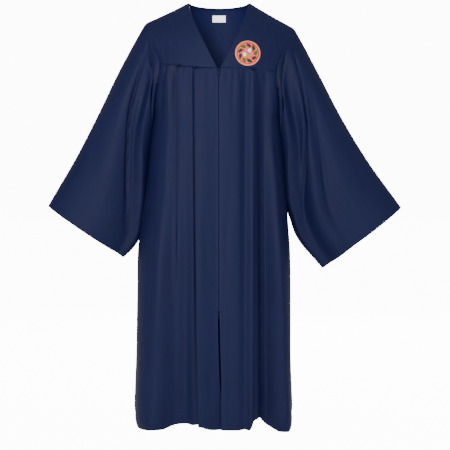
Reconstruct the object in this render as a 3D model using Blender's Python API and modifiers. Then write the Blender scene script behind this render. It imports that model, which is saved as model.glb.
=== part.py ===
"""Graduation gown, filled out as if it were worn, with nothing inside it.

Metres, +Z up. The front faces -Y, the wearer's right is -X and the wearer's left is +X.
The origin is the middle of the shoulder line, where the wearer's shoulders hold the gown.

Each piece of cloth is an open sheet worked out from the tables below, and a Solidify modifier
gives the sheet its wall. The columns of a sheet follow its folds, so that a ridge or a trough
keeps its line from the yoke to the hem, or from the armhole to the cuff.
"""
import math

import bpy
import numpy as np
from mathutils import Vector
from mathutils.bvhtree import BVHTree

# The cloth and its seams
WALL = 0.0015
SEAM_GAP = 0.0006
SLEEVE_SET_OFF_AT_TOP, SLEEVE_SET_OFF_UNDER = 0.0009, 0.0024
SLEEVE_EASE = 0.0018
LAID_ON_GAP = 0.0004
PATCH_GAP = 0.0007

RIGHT, LEFT = -1, 1
SIDE_WORDS = {RIGHT: "right", LEFT: "left"}

# Neck, yoke and hem
NECK_HALF_WIDTH = 0.0915
NECK_POINT_Y = 0.005
V_POINT_Z = -0.198
BACK_NECK_Y = 0.080
BACK_NECK_Z = -0.008
BACK_YOKE_Z = -0.200
HEM_Z = -1.250
HEM_LIFT_AT_SIDE = 0.016
HEM_DROP_AT_RIDGE = {RIGHT: 0.007, LEFT: 0.018}
SHOULDER_HOLLOW = 0.0015
# How the edges leave the neck point and arrive at the middle: (out, y, up), outward positive.
V_EDGE_SLOPES = ((-0.020, -0.175, -0.120), (-0.135, -0.045, -0.235))
BACK_NECK_SLOPES = ((-0.010, 0.120, -0.008), (-0.150, 0.0, 0.0))
BACK_CENTRE_SLOPES = ((0.0, 0.035, -0.110), (0.0, 0.004, -0.180))
SHOULDER_DRAW_IN = 0.0009

# The armhole, once round: turn 0 is the shoulder point, 0.5 the underarm, the front comes first.
# Columns: turn, distance out on the wearer's right and left, y, height on the right and left.
ARMHOLE = (
    (0.00, 0.2180, 0.2235, 0.004, -0.0600, -0.0750),
    (0.10, 0.2060, 0.2080, -0.034, -0.0950, -0.1100),
    (0.20, 0.1900, 0.1880, -0.057, -0.1370, -0.1480),
    (0.30, 0.1720, 0.1680, -0.074, -0.1850, -0.2050),
    (0.38, 0.1830, 0.1740, -0.070, -0.2450, -0.2580),
    (0.45, 0.1985, 0.1848, -0.038, -0.3080, -0.3150),
    (0.50, 0.2010, 0.1860, 0.008, -0.3350, -0.3400),
    (0.57, 0.1960, 0.1840, 0.052, -0.2980, -0.3050),
    (0.66, 0.1880, 0.1820, 0.080, -0.2300, -0.2380),
    (0.75, 0.1880, 0.1880, 0.086, -0.1750, -0.1850),
    (0.87, 0.2050, 0.2080, 0.055, -0.1050, -0.1190),
)
FRONT_CORNER_TURN = 0.30
UNDERARM_TURN = 0.50
BACK_CORNER_TURN = 0.75

# The body below the yoke. Columns: height, half width on the wearer's right and left,
# depth of the centre front and of the centre back, squareness (2 is an ellipse).
BODY_LEVELS = (
    (-0.150, 0.200, 0.190, 0.104, 0.096, 2.00),
    (-0.198, 0.200, 0.190, 0.112, 0.100, 2.00),
    (-0.335, 0.201, 0.186, 0.126, 0.110, 2.10),
    (-0.450, 0.209, 0.192, 0.134, 0.118, 2.15),
    (-0.550, 0.219, 0.199, 0.138, 0.125, 2.20),
    (-0.650, 0.232, 0.206, 0.142, 0.131, 2.25),
    (-0.720, 0.241, 0.211, 0.144, 0.135, 2.30),
    (-0.850, 0.243, 0.211, 0.147, 0.142, 2.45),
    (-1.050, 0.245, 0.207, 0.150, 0.150, 2.65),
    (-1.250, 0.247, 0.208, 0.152, 0.156, 2.85),
)
SIDE_SEAM_Y = 0.006
SIDE_SEAM_SETTLES_OVER = 0.05
YOKE_EDGE_ANGLE = math.radians(58)

# Folds of a front from its centre edge to its side. Columns: distance round from the centre
# line at the yoke and at the hem, rise at the four FOLD_HEIGHTS (minus is a trough), and how
# many columns of the sheet lie between this line and the next.
FOLD_HEIGHTS = (-0.20, -0.45, -0.75, -1.25)
FRONT_FOLDS = {
    RIGHT: (
        (0.000, 0.000, 0.0000, 0.0000, 0.0000, 0.0000, 3),
        (0.0670, 0.0560, 0.0060, 0.0080, 0.0100, 0.0060, 2),
        (0.0720, 0.0640, -0.0050, -0.0080, -0.0140, -0.0260, 2),
        (0.0930, 0.1020, 0.0020, -0.0030, -0.0160, -0.0560, 3),
        (0.1180, 0.1270, 0.0060, 0.0060, 0.0000, -0.0420, 1),
        (0.1230, 0.1340, -0.0045, -0.0045, -0.0030, -0.0320, 3),
        (0.1480, 0.1980, 0.0030, 0.0070, 0.0180, 0.0240, 5),
    ),
    LEFT: (
        (0.000, 0.000, 0.0000, 0.0000, 0.0000, 0.0000, 3),
        (0.0640, 0.0560, 0.0010, 0.0020, 0.0040, 0.0040, 1),
        (0.0790, 0.0730, -0.0090, -0.0100, -0.0070, -0.0040, 2),
        (0.0980, 0.0860, 0.0080, 0.0120, 0.0140, 0.0100, 2),
        (0.1020, 0.0950, 0.0000, -0.0020, -0.0080, -0.0160, 1),
        (0.1070, 0.0990, -0.0040, -0.0100, -0.0260, -0.0540, 2),
        (0.1240, 0.1180, -0.0050, -0.0220, -0.0430, -0.0860, 4),
        (0.1500, 0.1960, 0.0030, 0.0100, 0.0230, 0.0300, 5),
    ),
}
# Flutes of the back, from the wearer's right to left. Columns: distance round from the centre
# line at the yoke and at the hem, rise at the yoke and at the hem.
BACK_FLUTES = (
    (-0.156, -0.262, 0.004, 0.024),
    (-0.126, -0.206, 0.006, 0.037),
    (-0.094, -0.150, 0.007, 0.030),
    (-0.063, -0.103, 0.008, 0.040),
    (-0.031, -0.049, 0.008, 0.029),
    (0.001, 0.006, 0.009, 0.038),
    (0.035, 0.052, 0.008, 0.032),
    (0.064, 0.108, 0.008, 0.041),
    (0.098, 0.158, 0.006, 0.028),
    (0.130, 0.214, 0.005, 0.033),
)
TROUGH_SHARE = 0.75
FOLD_OPENS_OVER = 0.012
HEM_LIFT_SHARE = 0.27

# The sleeves. Columns: share of the way to the cuff, upper edge (out, height),
# lower edge (out, height), depth in front and behind.
SLEEVE_STATIONS = {
    RIGHT: (
        (0.00, 0.2180, -0.0600, 0.2010, -0.3350, 0.070, 0.078),
        (0.25, 0.2938, -0.1980, 0.2100, -0.4410, 0.070, 0.074),
        (0.50, 0.3602, -0.3330, 0.2180, -0.5370, 0.066, 0.070),
        (0.75, 0.4307, -0.4680, 0.2352, -0.6570, 0.062, 0.064),
        (1.00, 0.5102, -0.6027, 0.2857, -0.7550, 0.058, 0.060),
    ),
    LEFT: (
        (0.00, 0.2235, -0.0750, 0.1860, -0.3400, 0.070, 0.078),
        (0.25, 0.2942, -0.2070, 0.1905, -0.4450, 0.070, 0.074),
        (0.50, 0.3647, -0.3410, 0.1990, -0.5480, 0.068, 0.070),
        (0.75, 0.4467, -0.4740, 0.2252, -0.6840, 0.064, 0.066),
        (1.00, 0.5441, -0.6075, 0.3077, -0.7890, 0.060, 0.062),
    ),
}
SLEEVE_FREE_AT = 0.35
SLEEVE_CENTRE_Y = 0.006

# Folds of a sleeve, once round from its upper edge, the front first. Columns: turn at the
# armhole and at the cuff, rise at the SLEEVE_FOLD_RUNS, and columns of the sheet to the next.
SLEEVE_FOLD_RUNS = (0.0, 0.15, 0.40, 0.70, 1.0)
SLEEVE_FOLD_SWEEP = 0.40
SLEEVE_FOLDS = {
    RIGHT: (
        (0.000, 0.000, 0.0, 0.000, 0.000, 0.000, 0.000, 4),
        (0.010, 0.170, 0.0, 0.002, 0.003, 0.005, 0.004, 3),
        (0.020, 0.300, 0.0, 0.007, 0.012, 0.012, 0.008, 2),
        (0.035, 0.375, 0.0, -0.012, -0.019, -0.018, -0.010, 2),
        (0.055, 0.425, 0.0, 0.007, 0.010, 0.008, 0.004, 2),
        (0.090, 0.455, 0.0, -0.020, -0.016, -0.004, 0.000, 2),
        (0.180, 0.475, 0.0, 0.008, 0.004, 0.000, 0.000, 3),
        (0.360, 0.490, 0.0, 0.000, 0.000, 0.000, 0.000, 3),
        (0.500, 0.500, 0.0, 0.000, 0.000, 0.000, 0.000, 3),
        (0.640, 0.510, 0.0, 0.000, 0.000, 0.000, 0.000, 3),
        (0.820, 0.530, 0.0, 0.007, 0.003, 0.000, 0.000, 2),
        (0.910, 0.560, 0.0, -0.016, -0.012, -0.004, -0.002, 2),
        (0.943, 0.605, 0.0, 0.006, 0.009, 0.008, 0.006, 2),
        (0.965, 0.660, 0.0, -0.009, -0.016, -0.017, -0.010, 2),
        (0.981, 0.740, 0.0, 0.005, 0.009, 0.009, 0.006, 3),
        (0.992, 0.860, 0.0, 0.002, 0.003, 0.004, 0.004, 3),
    ),
    LEFT: (
        (0.000, 0.000, 0.0, 0.000, 0.000, 0.000, 0.000, 4),
        (0.007, 0.200, 0.0, 0.002, 0.006, 0.008, 0.007, 2),
        (0.013, 0.270, 0.0, 0.000, -0.004, -0.009, -0.006, 2),
        (0.021, 0.350, 0.0, 0.008, 0.013, 0.012, 0.004, 2),
        (0.036, 0.410, 0.0, -0.014, -0.021, -0.017, -0.003, 2),
        (0.058, 0.445, 0.0, 0.007, 0.010, 0.006, 0.003, 2),
        (0.095, 0.465, 0.0, -0.017, -0.012, 0.000, 0.000, 2),
        (0.190, 0.480, 0.0, 0.007, 0.003, 0.000, 0.000, 3),
        (0.360, 0.490, 0.0, 0.000, 0.000, 0.000, 0.000, 3),
        (0.500, 0.500, 0.0, 0.000, 0.000, 0.000, 0.000, 3),
        (0.640, 0.512, 0.0, 0.000, 0.000, 0.000, 0.000, 3),
        (0.815, 0.530, 0.0, 0.006, 0.003, 0.000, 0.000, 2),
        (0.905, 0.560, 0.0, -0.015, -0.010, -0.003, -0.002, 2),
        (0.940, 0.610, 0.0, 0.006, 0.010, 0.008, 0.005, 2),
        (0.966, 0.680, 0.0, -0.010, -0.018, -0.016, -0.009, 2),
        (0.983, 0.770, 0.0, 0.005, 0.008, 0.009, 0.007, 3),
        (0.993, 0.880, 0.0, 0.001, 0.003, 0.004, 0.003, 3),
    ),
}

# How finely the sheets are divided
YOKE_COLUMNS, YOKE_ROWS = 10, 7
BACK_YOKE_COLUMNS, BACK_YOKE_ROWS = 8, 6
COLUMNS_BETWEEN_FLUTES = 6
BODY_ROWS, BODY_ROWS_CROWD = 14, 1.6
SLEEVE_ROWS, SLEEVE_ROWS_CROWD = 13, 1.35
FINE_STEPS = 160

# The centre front: its opening, its zip and the slider and pull tab of the zip
OPENING_AT_SLIDER = 0.0096
OPENING_CLOSED = 0.0030
UNDERLAP_AT_HEM = 0.0030
UNDERLAP_DEPTH = 0.0070
OPENING_NARROWS = (-0.211, -0.238)
ZIP_END_Z = -0.916
HEM_SWAY = 0.008
EDGE_MOVES_WITHIN = 0.03
ZIP_TAPE_WIDTH, ZIP_TAPE_THICKNESS, ZIP_TAPES_APART = 0.0125, 0.0010, 0.0008
ZIP_TAPE_STOPS_SHORT = 0.0010
SLIDER_Z = -0.2046
SLIDER_SIZE = (0.0070, 0.0030, 0.0088)
BRIDGE_SIZE = (0.0016, 0.0034, 0.0064)
BRIDGE_WINDOW = (0.0022, 0.0044)
BRIDGE_SUNK, SLIDER_ROUNDING = 0.0006, 0.0009
CUT_THROUGH = 0.004
PULL_SIZE = (0.0052, 0.0010, 0.0165)
PULL_EYE = (0.0028, 0.0044)
PULL_BAR = 0.0011
PULL_AXIS_UP = 0.0008

# The neck label and the round emblem patch
CAST_FROM_Y = -0.2
LABEL_SIZE, LABEL_THICKNESS = (0.0400, 0.0200), 0.0008
LABEL_TOP_Z = -0.0290
PATCH_RADIUS, PATCH_THICKNESS = 0.0368, 0.0016
PATCH_X, PATCH_Z = 0.0838, -0.1560
PATCH_RINGS, PATCH_SIDES = 4, 28


def smooth_curve(places, values, at):
    """Cubic curve through the values, with each slope taken from the two neighbours."""
    places, values, at = (np.asarray(a, float) for a in (places, values, at))
    slopes = np.gradient(values, places, axis=0)
    return cubic(places, values, slopes, at)


def monotone_curve(places, values, at):
    """Cubic curve through the values that turns only at them, so a fold never overshoots."""
    places, values = np.asarray(places, float), np.asarray(values, float)
    chord = np.diff(values) / np.diff(places)
    before, after = chord[:-1], chord[1:]
    same_way = before * after > 0
    slopes = np.zeros(len(places))
    total = np.where(same_way, before + after, 1.0)
    slopes[1:-1] = np.where(same_way, 2 * before * after / total, 0.0)
    return cubic(places, values, slopes, np.asarray(at, float))


def cubic(places, values, slopes, at):
    i = np.clip(np.searchsorted(places, at, side="right") - 1, 0, len(places) - 2)
    span = places[i + 1] - places[i]
    t = (at - places[i]) / span
    if values.ndim > 1:
        t, span = t[..., None], span[..., None]
    return (
        (2 * t**3 - 3 * t**2 + 1) * values[i]
        + (t**3 - 2 * t**2 + t) * span * slopes[i]
        + (3 * t**2 - 2 * t**3) * values[i + 1]
        + (t**3 - t**2) * span * slopes[i + 1]
    )


def smooth_step(t):
    t = np.clip(t, 0.0, 1.0)
    return t * t * (3 - 2 * t)


def armhole(side, turn):
    """Points of one armhole's closed line at these turns."""
    rows = np.array(ARMHOLE)
    out, height = (1, 4) if side == RIGHT else (2, 5)
    ring = np.stack([side * rows[:, out], rows[:, 3], rows[:, height]], axis=1)
    wrapped = np.concatenate([ring[-3:], ring, ring[:3]])
    turns = np.concatenate([rows[-3:, 0] - 1, rows[:, 0], rows[:3, 0] + 1])
    return smooth_curve(turns, wrapped, np.mod(turn, 1.0))


def armhole_at_height(side, front, height):
    """Plan position of the armhole's front or back line at this height."""
    turns = (FRONT_CORNER_TURN, UNDERARM_TURN) if front else (UNDERARM_TURN, BACK_CORNER_TURN)
    points = armhole(side, np.linspace(*turns, FINE_STEPS))
    points = points[np.argsort(points[:, 2])]
    return np.array([np.interp(height, points[:, 2], points[:, k]) for k in (0, 1)])


def level(column, heights):
    rows = np.array(BODY_LEVELS)[::-1]
    return smooth_curve(rows[:, 0], rows[:, column], np.clip(heights, rows[0, 0], rows[-1, 0]))


def yoke_seam_height(side, front, share):
    """Height of the seam under the yoke, from the centre (share 0) to the armhole (share 1)."""
    corner = armhole(side, FRONT_CORNER_TURN if front else BACK_CORNER_TURN)[2]
    centre = V_POINT_Z if front else BACK_YOKE_Z
    return centre + (corner - centre) * smooth_step(share) ** 1.5


def edge_point(side, front, height, underarm):
    """Where a front or half the back ends at this height: at the armhole or the side seam."""
    if height > underarm[2]:
        return armhole_at_height(side, front, height)
    half_width = level(1 if side == RIGHT else 2, height)
    settled = math.exp((height - underarm[2]) / SIDE_SEAM_SETTLES_OVER)
    return np.array([side * half_width, SIDE_SEAM_Y + (underarm[1] - SIDE_SEAM_Y) * settled])


def plain_row(side, front, down, share):
    """One row of a front or of half the back with no folds, from the centre to its edge.

    x = X (sin a / sin A)^(2/n) and y goes with (cos a)^(2/n), where A is the angle of the edge.
    """
    seam = yoke_seam_height(side, front, share)
    hem = HEM_Z + HEM_LIFT_AT_SIDE * share**6
    if front:
        hem = hem - HEM_DROP_AT_RIDGE[side] * np.sin(math.pi * share**2) ** 2
    z = seam + (hem - seam) * down
    underarm = armhole(side, UNDERARM_TURN)
    edge_x, edge_y = edge_point(side, front, z[-1], underarm)
    to_side = smooth_step((seam[-1] - z[-1]) / (seam[-1] - underarm[2]))
    last = YOKE_EDGE_ANGLE + (math.pi / 2 - YOKE_EDGE_ANGLE) * to_side
    power = 2 / level(5, z[-1])
    angle = share * last
    centre_y = level(3, z) * -1 if front else level(4, z)
    x = edge_x * (np.sin(angle) / math.sin(last)) ** power
    cosine = np.clip(np.cos(angle), 0, 1) ** power
    toward_edge = (1 - cosine) / (1 - np.clip(math.cos(last), 0, 1) ** power)
    return np.stack([x, centre_y + (edge_y - centre_y) * toward_edge, z], axis=-1)


def half_shares():
    """Fine shares from the centre to the edge, crowded where the row bends most."""
    return np.linspace(0, 1, FINE_STEPS) ** 1.3


def signed_length(row):
    """Distance along a row in plan from the middle plane, minus on the wearer's right."""
    steps = np.hypot(np.diff(row[:, 0]), np.diff(row[:, 1]))
    run = np.concatenate([[0], np.cumsum(steps)])
    return run - np.interp(0.0, row[:, 0], run)


def outward_normals(row):
    tangent = np.gradient(row[:, :2], axis=0)
    normal = np.stack([tangent[:, 1], -tangent[:, 0]], axis=1)
    normal /= np.linalg.norm(normal, axis=1, keepdims=True)
    return np.concatenate([normal, np.zeros((len(row), 1))], axis=1)


def folded_row(row, places, rises, columns, way_out):
    """Points of a row at its columns, moved out or in by the folds whose lines are at places."""
    length = signed_length(row)
    at = np.interp(columns, np.arange(len(places)), places)
    point = np.stack([np.interp(at, length, row[:, k]) for k in range(3)], axis=1)
    normals = outward_normals(row) * way_out
    normal = np.stack([np.interp(at, length, normals[:, k]) for k in range(3)], axis=1)
    rise = monotone_curve(places, rises, at)
    return point, normal, rise


def down_shares(rows=BODY_ROWS):
    """Shares of the way from the yoke to the hem, closer together where the folds open."""
    return np.linspace(0, 1, rows + 1) ** BODY_ROWS_CROWD


def opened(down):
    """A fold is shut at the seam and open a little below it."""
    return 1 - math.exp(-down * (V_POINT_Z - HEM_Z) / FOLD_OPENS_OVER)


def column_places(counts):
    """Columns of a sheet as places between numbered fold lines: 0, 1/n, 2/n and so on."""
    places = [i + k / n for i, n in enumerate(counts) for k in range(n)]
    return np.array(places + [len(counts)])


def front_sheet(side, rows=BODY_ROWS):
    folds = np.array(FRONT_FOLDS[side])
    columns = column_places([int(n) for n in folds[:, 6]])
    sheet = []
    for down in down_shares(rows):
        row = plain_row(side, True, down, half_shares())
        if side == RIGHT:
            row = row[::-1]
        length = signed_length(row)
        end = abs(length[0] if side == RIGHT else length[-1])
        places = np.append(folds[:, 0] + (folds[:, 1] - folds[:, 0]) * down, end)
        height = V_POINT_Z + (HEM_Z - V_POINT_Z) * down
        rises = [smooth_curve(FOLD_HEIGHTS[::-1], fold[2:6][::-1], height) for fold in folds]
        rises = np.append(rises, 0.0)
        if side == RIGHT:
            places, rises = -places[::-1], rises[::-1]
            at = len(places) - 1 - columns[::-1]
        else:
            at = columns
        point, normal, rise = folded_row(row, places, rises, at, 1)
        rise = rise * opened(down)
        trough = np.clip(-rise, 0, None) * smooth_step((-0.85 - height) / 0.4)
        moved = point + normal * rise[:, None]
        moved[:, 2] += HEM_LIFT_SHARE * trough
        sheet.append(moved[::-1] if side == RIGHT else moved)
    return part_centre(np.array(sheet), side)


def part_centre(sheet, side):
    """Parts the fronts at the centre, wider at the slider. Under the zip the right one laps behind."""
    z = sheet[:, :, 2]
    begins, ends = OPENING_NARROWS
    at_top = smooth_step((z - ends) / (begins - ends))
    at_hem = smooth_step((ZIP_END_Z - z) / (ZIP_END_Z - HEM_Z))
    opening = OPENING_CLOSED + (OPENING_AT_SLIDER - OPENING_CLOSED) * at_top
    near = np.exp(-np.abs(sheet[:, :, 0]) / EDGE_MOVES_WITHIN)
    sheet[:, :, 0] += (side * opening / 2 + HEM_SWAY * at_hem) * near
    if side == RIGHT:
        sheet[:, :, 0] += (OPENING_CLOSED + UNDERLAP_AT_HEM) * at_hem * near
        sheet[:, :, 1] += UNDERLAP_DEPTH * at_hem * near
    return sheet


def back_sheet(columns_between=COLUMNS_BETWEEN_FLUTES, rows=BODY_ROWS):
    flutes = np.array(BACK_FLUTES)
    middle = (flutes[1:] + flutes[:-1]) / 2
    middle[:, 2:] *= -TROUGH_SHARE
    lines = np.empty((2 * len(flutes) - 1, 4))
    lines[0::2], lines[1::2] = flutes, middle
    half = columns_between // 2
    columns = column_places([columns_between] + [half] * (len(lines) - 1) + [columns_between])
    sheet = []
    for down in down_shares(rows):
        halves = [plain_row(side, False, down, half_shares()) for side in (RIGHT, LEFT)]
        row = np.concatenate([halves[0][::-1], halves[1][1:]])
        length = signed_length(row)
        places = lines[:, 0] + (lines[:, 1] - lines[:, 0]) * down
        rises = lines[:, 2] + (lines[:, 3] - lines[:, 2]) * down
        places = np.concatenate([[length[0]], places, [length[-1]]])
        rises = np.concatenate([[0.0], rises, [0.0]])
        point, normal, rise = folded_row(row, places, rises, columns, -1)
        sheet.append(point + normal * (rise * opened(down))[:, None])
    return np.array(sheet)


def hermite(start, end, leave, arrive, t):
    """Cubic from start to end with those end slopes."""
    t = t[:, None]
    return (
        (2 * t**3 - 3 * t**2 + 1) * start
        + (t**3 - 2 * t**2 + t) * np.array(leave)
        + (3 * t**2 - 2 * t**3) * end
        + (t**3 - t**2) * np.array(arrive)
    )


def mirrored(slope, side):
    return (side * slope[0], slope[1], slope[2])


def neck_point(side):
    return np.array([side * NECK_HALF_WIDTH, NECK_POINT_Y, 0.0])


def shoulder_seam(side, share):
    """From the neck point to the shoulder point, a little hollow in between."""
    neck = neck_point(side)
    line = neck + (armhole(side, 0.0) - neck) * share[:, None]
    line[:, 2] -= SHOULDER_HOLLOW * np.sin(math.pi * share)
    return line


def v_edge(side, share):
    """The edge of the V from the neck point to the top of the zip."""
    end = np.array([0.0, -level(3, V_POINT_Z), V_POINT_Z])
    leave, arrive = (mirrored(slope, side) for slope in V_EDGE_SLOPES)
    edge = hermite(neck_point(side), end, leave, arrive, share)
    edge[:, 0] += side * OPENING_AT_SLIDER / 2 * np.exp(-np.abs(edge[:, 0]) / EDGE_MOVES_WITHIN)
    return edge


def back_neck_edge(side, share):
    """Half the back neck, from the neck point to its middle."""
    end = np.array([0.0, BACK_NECK_Y, BACK_NECK_Z])
    leave, arrive = (mirrored(slope, side) for slope in BACK_NECK_SLOPES)
    return hermite(neck_point(side), end, leave, arrive, share)


def between_edges(top, bottom, first, last):
    """Sheet that fills four edges: rows run from first to last, columns from top to bottom."""
    u = np.linspace(0, 1, len(top))[None, :, None]
    v = np.linspace(0, 1, len(first))[:, None, None]
    across = (1 - u) * first[:, None] + u * last[:, None]
    down = (1 - v) * top[None] + v * bottom[None]
    upper = (1 - u) * top[0] + u * top[-1]
    lower = (1 - u) * bottom[0] + u * bottom[-1]
    return across + down - (1 - v) * upper - v * lower


def front_yoke_sheet(side, columns=YOKE_COLUMNS, rows=YOKE_ROWS):
    across, down = np.linspace(0, 1, columns + 1), np.linspace(0, 1, rows + 1)
    bottom = plain_row(side, True, 0.0, across)
    v_end = v_edge(side, down)[-1]
    bottom[:, 0] += (v_end[0] - bottom[0, 0]) * np.exp(-np.abs(bottom[:, 0]) / EDGE_MOVES_WITHIN)
    edge = armhole(side, FRONT_CORNER_TURN * down)
    return between_edges(shoulder_seam(side, across), bottom, v_edge(side, down), edge)


def back_yoke_sheet(columns=BACK_YOKE_COLUMNS, rows=BACK_YOKE_ROWS):
    """The back yoke runs from one armhole to the other, in one piece round the back neck."""
    across, down = np.linspace(0, 1, columns + 1), np.linspace(0, 1, rows + 1)
    halves = []
    for side in (RIGHT, LEFT):
        neck = back_neck_edge(side, across)[::-1]
        top = np.concatenate([neck, shoulder_seam(side, across)[1:]])
        bottom = plain_row(side, False, 0.0, np.linspace(0, 1, len(top)))
        centre = hermite(neck[0], bottom[0], *BACK_CENTRE_SLOPES, down)
        edge = armhole(side, 1 - (1 - BACK_CORNER_TURN) * down)
        halves.append(between_edges(top, bottom, centre, edge))
    right, left = halves
    return np.concatenate([right[:, ::-1], left[:, 1:]], axis=1)


def sheet_normals(sheet, closed):
    """Unit normal at each point of a grid."""
    if closed:
        around = np.roll(sheet, -1, axis=1) - np.roll(sheet, 1, axis=1)
    else:
        around = np.gradient(sheet, axis=1)
    normal = np.cross(around, np.gradient(sheet, axis=0))
    return normal / np.maximum(np.linalg.norm(normal, axis=-1, keepdims=True), 1e-12)


def sleeve_sheet(side, rows=SLEEVE_ROWS):
    """A tube from the armhole to the cuff, whose rings turn from the armhole to a long oval."""
    folds = np.array(SLEEVE_FOLDS[side])
    wrapped = np.concatenate([folds, folds[:1] + np.array([1, 1, 0, 0, 0, 0, 0, 0])])
    columns = column_places([int(n) for n in folds[:, 7]])[:-1]
    lines = np.arange(len(wrapped))
    run = np.linspace(0, 1, rows + 1) ** SLEEVE_ROWS_CROWD
    swept = (run**SLEEVE_FOLD_SWEEP)[:, None]
    at_armhole = np.interp(columns, lines, wrapped[:, 0])
    at_cuff = np.interp(columns, lines, wrapped[:, 1])
    turn = at_armhole + (at_cuff - at_armhole) * swept
    stations = np.array(SLEEVE_STATIONS[side])
    sizes = smooth_curve(stations[:, 0], stations[:, 1:], run)
    up_x, up_z, low_x, low_z, front, back = sizes.T[:, :, None]
    angle = 2 * math.pi * turn
    half = (1 + np.cos(angle)) / 2
    depth = np.where(np.sin(angle) > 0, -front, back) * np.abs(np.sin(angle))
    x = side * (low_x + (up_x - low_x) * half)
    z = low_z + (up_z - low_z) * half
    oval = np.stack([x, SLEEVE_CENTRE_Y + depth, z], axis=-1)
    hole = armhole(side, turn)
    up_drift = np.stack([side * (up_x - up_x[0]), 0 * up_x, up_z - up_z[0]], axis=-1)
    low_drift = np.stack([side * (low_x - low_x[0]), 0 * low_x, low_z - low_z[0]], axis=-1)
    drift = low_drift + (up_drift - low_drift) * half[..., None]
    free = smooth_step(run / SLEEVE_FREE_AT)[:, None, None]
    sheet = (hole + drift) * (1 - free) + oval * free
    normal = sheet_normals(sheet, closed=True)
    middle = sheet.mean(axis=1, keepdims=True)
    normal *= np.sign(np.sum(normal * (sheet - middle)))
    for r, share in enumerate(run):
        rises = [smooth_curve(SLEEVE_FOLD_RUNS, fold[2:7], share) for fold in wrapped]
        rise = monotone_curve(lines, rises, columns)
        sheet[r] += normal[r] * rise[:, None]
    under = (1 - np.cos(2 * math.pi * at_armhole)) / 2
    set_off = SLEEVE_SET_OFF_AT_TOP + (SLEEVE_SET_OFF_UNDER - SLEEVE_SET_OFF_AT_TOP) * under
    sheet[:, :, 0] += side * (set_off + SLEEVE_EASE * smooth_step(run / 0.1)[:, None])
    return sheet


def draw_in(sheet, edges, amount=SEAM_GAP / 2):
    """Draws the named edges of a grid in, which leaves the gap of the seam."""
    turned = sheet.transpose(1, 0, 2)
    grids = {
        "top": (sheet, 0, 1),
        "bottom": (sheet, -1, -2),
        "first": (turned, 0, 1),
        "last": (turned, -1, -2),
    }
    for name in edges:
        grid, edge, inner = grids[name]
        step = grid[inner] - grid[edge]
        grid[edge] += step / np.linalg.norm(step, axis=-1, keepdims=True) * amount
    return sheet


def zip_tape_sheet(side):
    """Half of the zip tape: a strip behind the edge of one front."""
    downs = down_shares()
    end = (ZIP_END_Z - V_POINT_Z) / (HEM_Z - V_POINT_Z)
    downs = np.append(downs[downs < end], end)
    inward = WALL / 2 + LAID_ON_GAP + ZIP_TAPE_THICKNESS / 2
    out = np.array([ZIP_TAPES_APART / 2, ZIP_TAPE_WIDTH / 2, ZIP_TAPE_WIDTH])
    sheet = []
    for down in downs:
        row = plain_row(side, True, down, half_shares())
        y = np.interp(out, np.abs(row[:, 0]), row[:, 1])
        z = np.interp(out, np.abs(row[:, 0]), row[:, 2])
        sheet.append(np.stack([side * out, y + inward, z], axis=1))
    return draw_in(np.array(sheet), ("top",), ZIP_TAPE_STOPS_SHORT)


def material(name, colour, roughness, metallic=0.0):
    made = bpy.data.materials.new(name)
    made.use_nodes = True
    shader = made.node_tree.nodes["Principled BSDF"]
    shader.inputs["Base Color"].default_value = (*colour, 1)
    shader.inputs["Roughness"].default_value = roughness
    shader.inputs["Metallic"].default_value = metallic
    return made


def add_object(name, mesh, surface, collection):
    made = bpy.data.objects.new(name, mesh)
    if surface:
        mesh.materials.append(surface)
    collection.objects.link(made)
    return made


def grid_mesh(name, sheet, closed=False):
    """Quads between the points of a grid. A closed grid joins its last column to its first."""
    rows, columns = sheet.shape[:2]
    corner = np.arange(rows * columns).reshape(rows, columns)
    if closed:
        corner = np.concatenate([corner, corner[:, :1]], axis=1)
    quads = np.stack([corner[:-1, :-1], corner[:-1, 1:], corner[1:, 1:], corner[1:, :-1]], axis=-1)
    mesh = bpy.data.meshes.new(name)
    mesh.from_pydata(sheet.reshape(-1, 3).tolist(), [], quads.reshape(-1, 4).tolist())
    mesh.shade_smooth()
    return mesh


def cloth(name, mesh, surface, collection, wall=WALL):
    """A sheet with its wall: half the thickness goes to each side."""
    made = add_object(name, mesh, surface, collection)
    solidify = made.modifiers.new("wall", "SOLIDIFY")
    solidify.thickness = wall
    solidify.offset = 0
    solidify.use_quality_normals = True
    return made


def laid_on(name, flat_points, faces, sheet, gap, thickness, surface, collection):
    """A flat shape laid on a panel: it is cast along Y onto the panel's facets and lifted.

    It lies on the side that faces -Y: outside the front yoke, or inside the back yoke.
    """
    panel = grid_mesh(name + "_under", sheet)
    tree = BVHTree.FromPolygons([v.co for v in panel.vertices], [p.vertices for p in panel.polygons])
    bpy.data.meshes.remove(panel)
    lift = WALL / 2 + gap + thickness / 2
    hits = [tree.ray_cast(Vector((x, CAST_FROM_Y, z)), Vector((0, 1, 0))) for x, z in flat_points]
    normal = sum((hit[1] * math.copysign(1, -hit[1].y) for hit in hits), Vector()).normalized()
    points = [hit[0] + normal * lift for hit in hits]
    mesh = bpy.data.meshes.new(name)
    mesh.from_pydata(points, [], faces)
    mesh.shade_smooth()
    return cloth(name, mesh, surface, collection, thickness)


def disc_layout(x, z, radius, rings, sides):
    """Points and faces of a flat disc in rings round its middle."""
    points = [(x, z)]
    for ring in range(1, rings + 1):
        r = radius * ring / rings
        turns = np.arange(sides) * 2 * math.pi / sides
        points += [(x + r * math.sin(a), z + r * math.cos(a)) for a in turns]
    faces = [(0, 1 + k, 1 + (k + 1) % sides) for k in range(sides)]
    for ring in range(rings - 1):
        inner, outer = 1 + ring * sides, 1 + (ring + 1) * sides
        for k in range(sides):
            n = (k + 1) % sides
            faces.append((inner + k, outer + k, outer + n, inner + n))
    return points, faces


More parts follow.
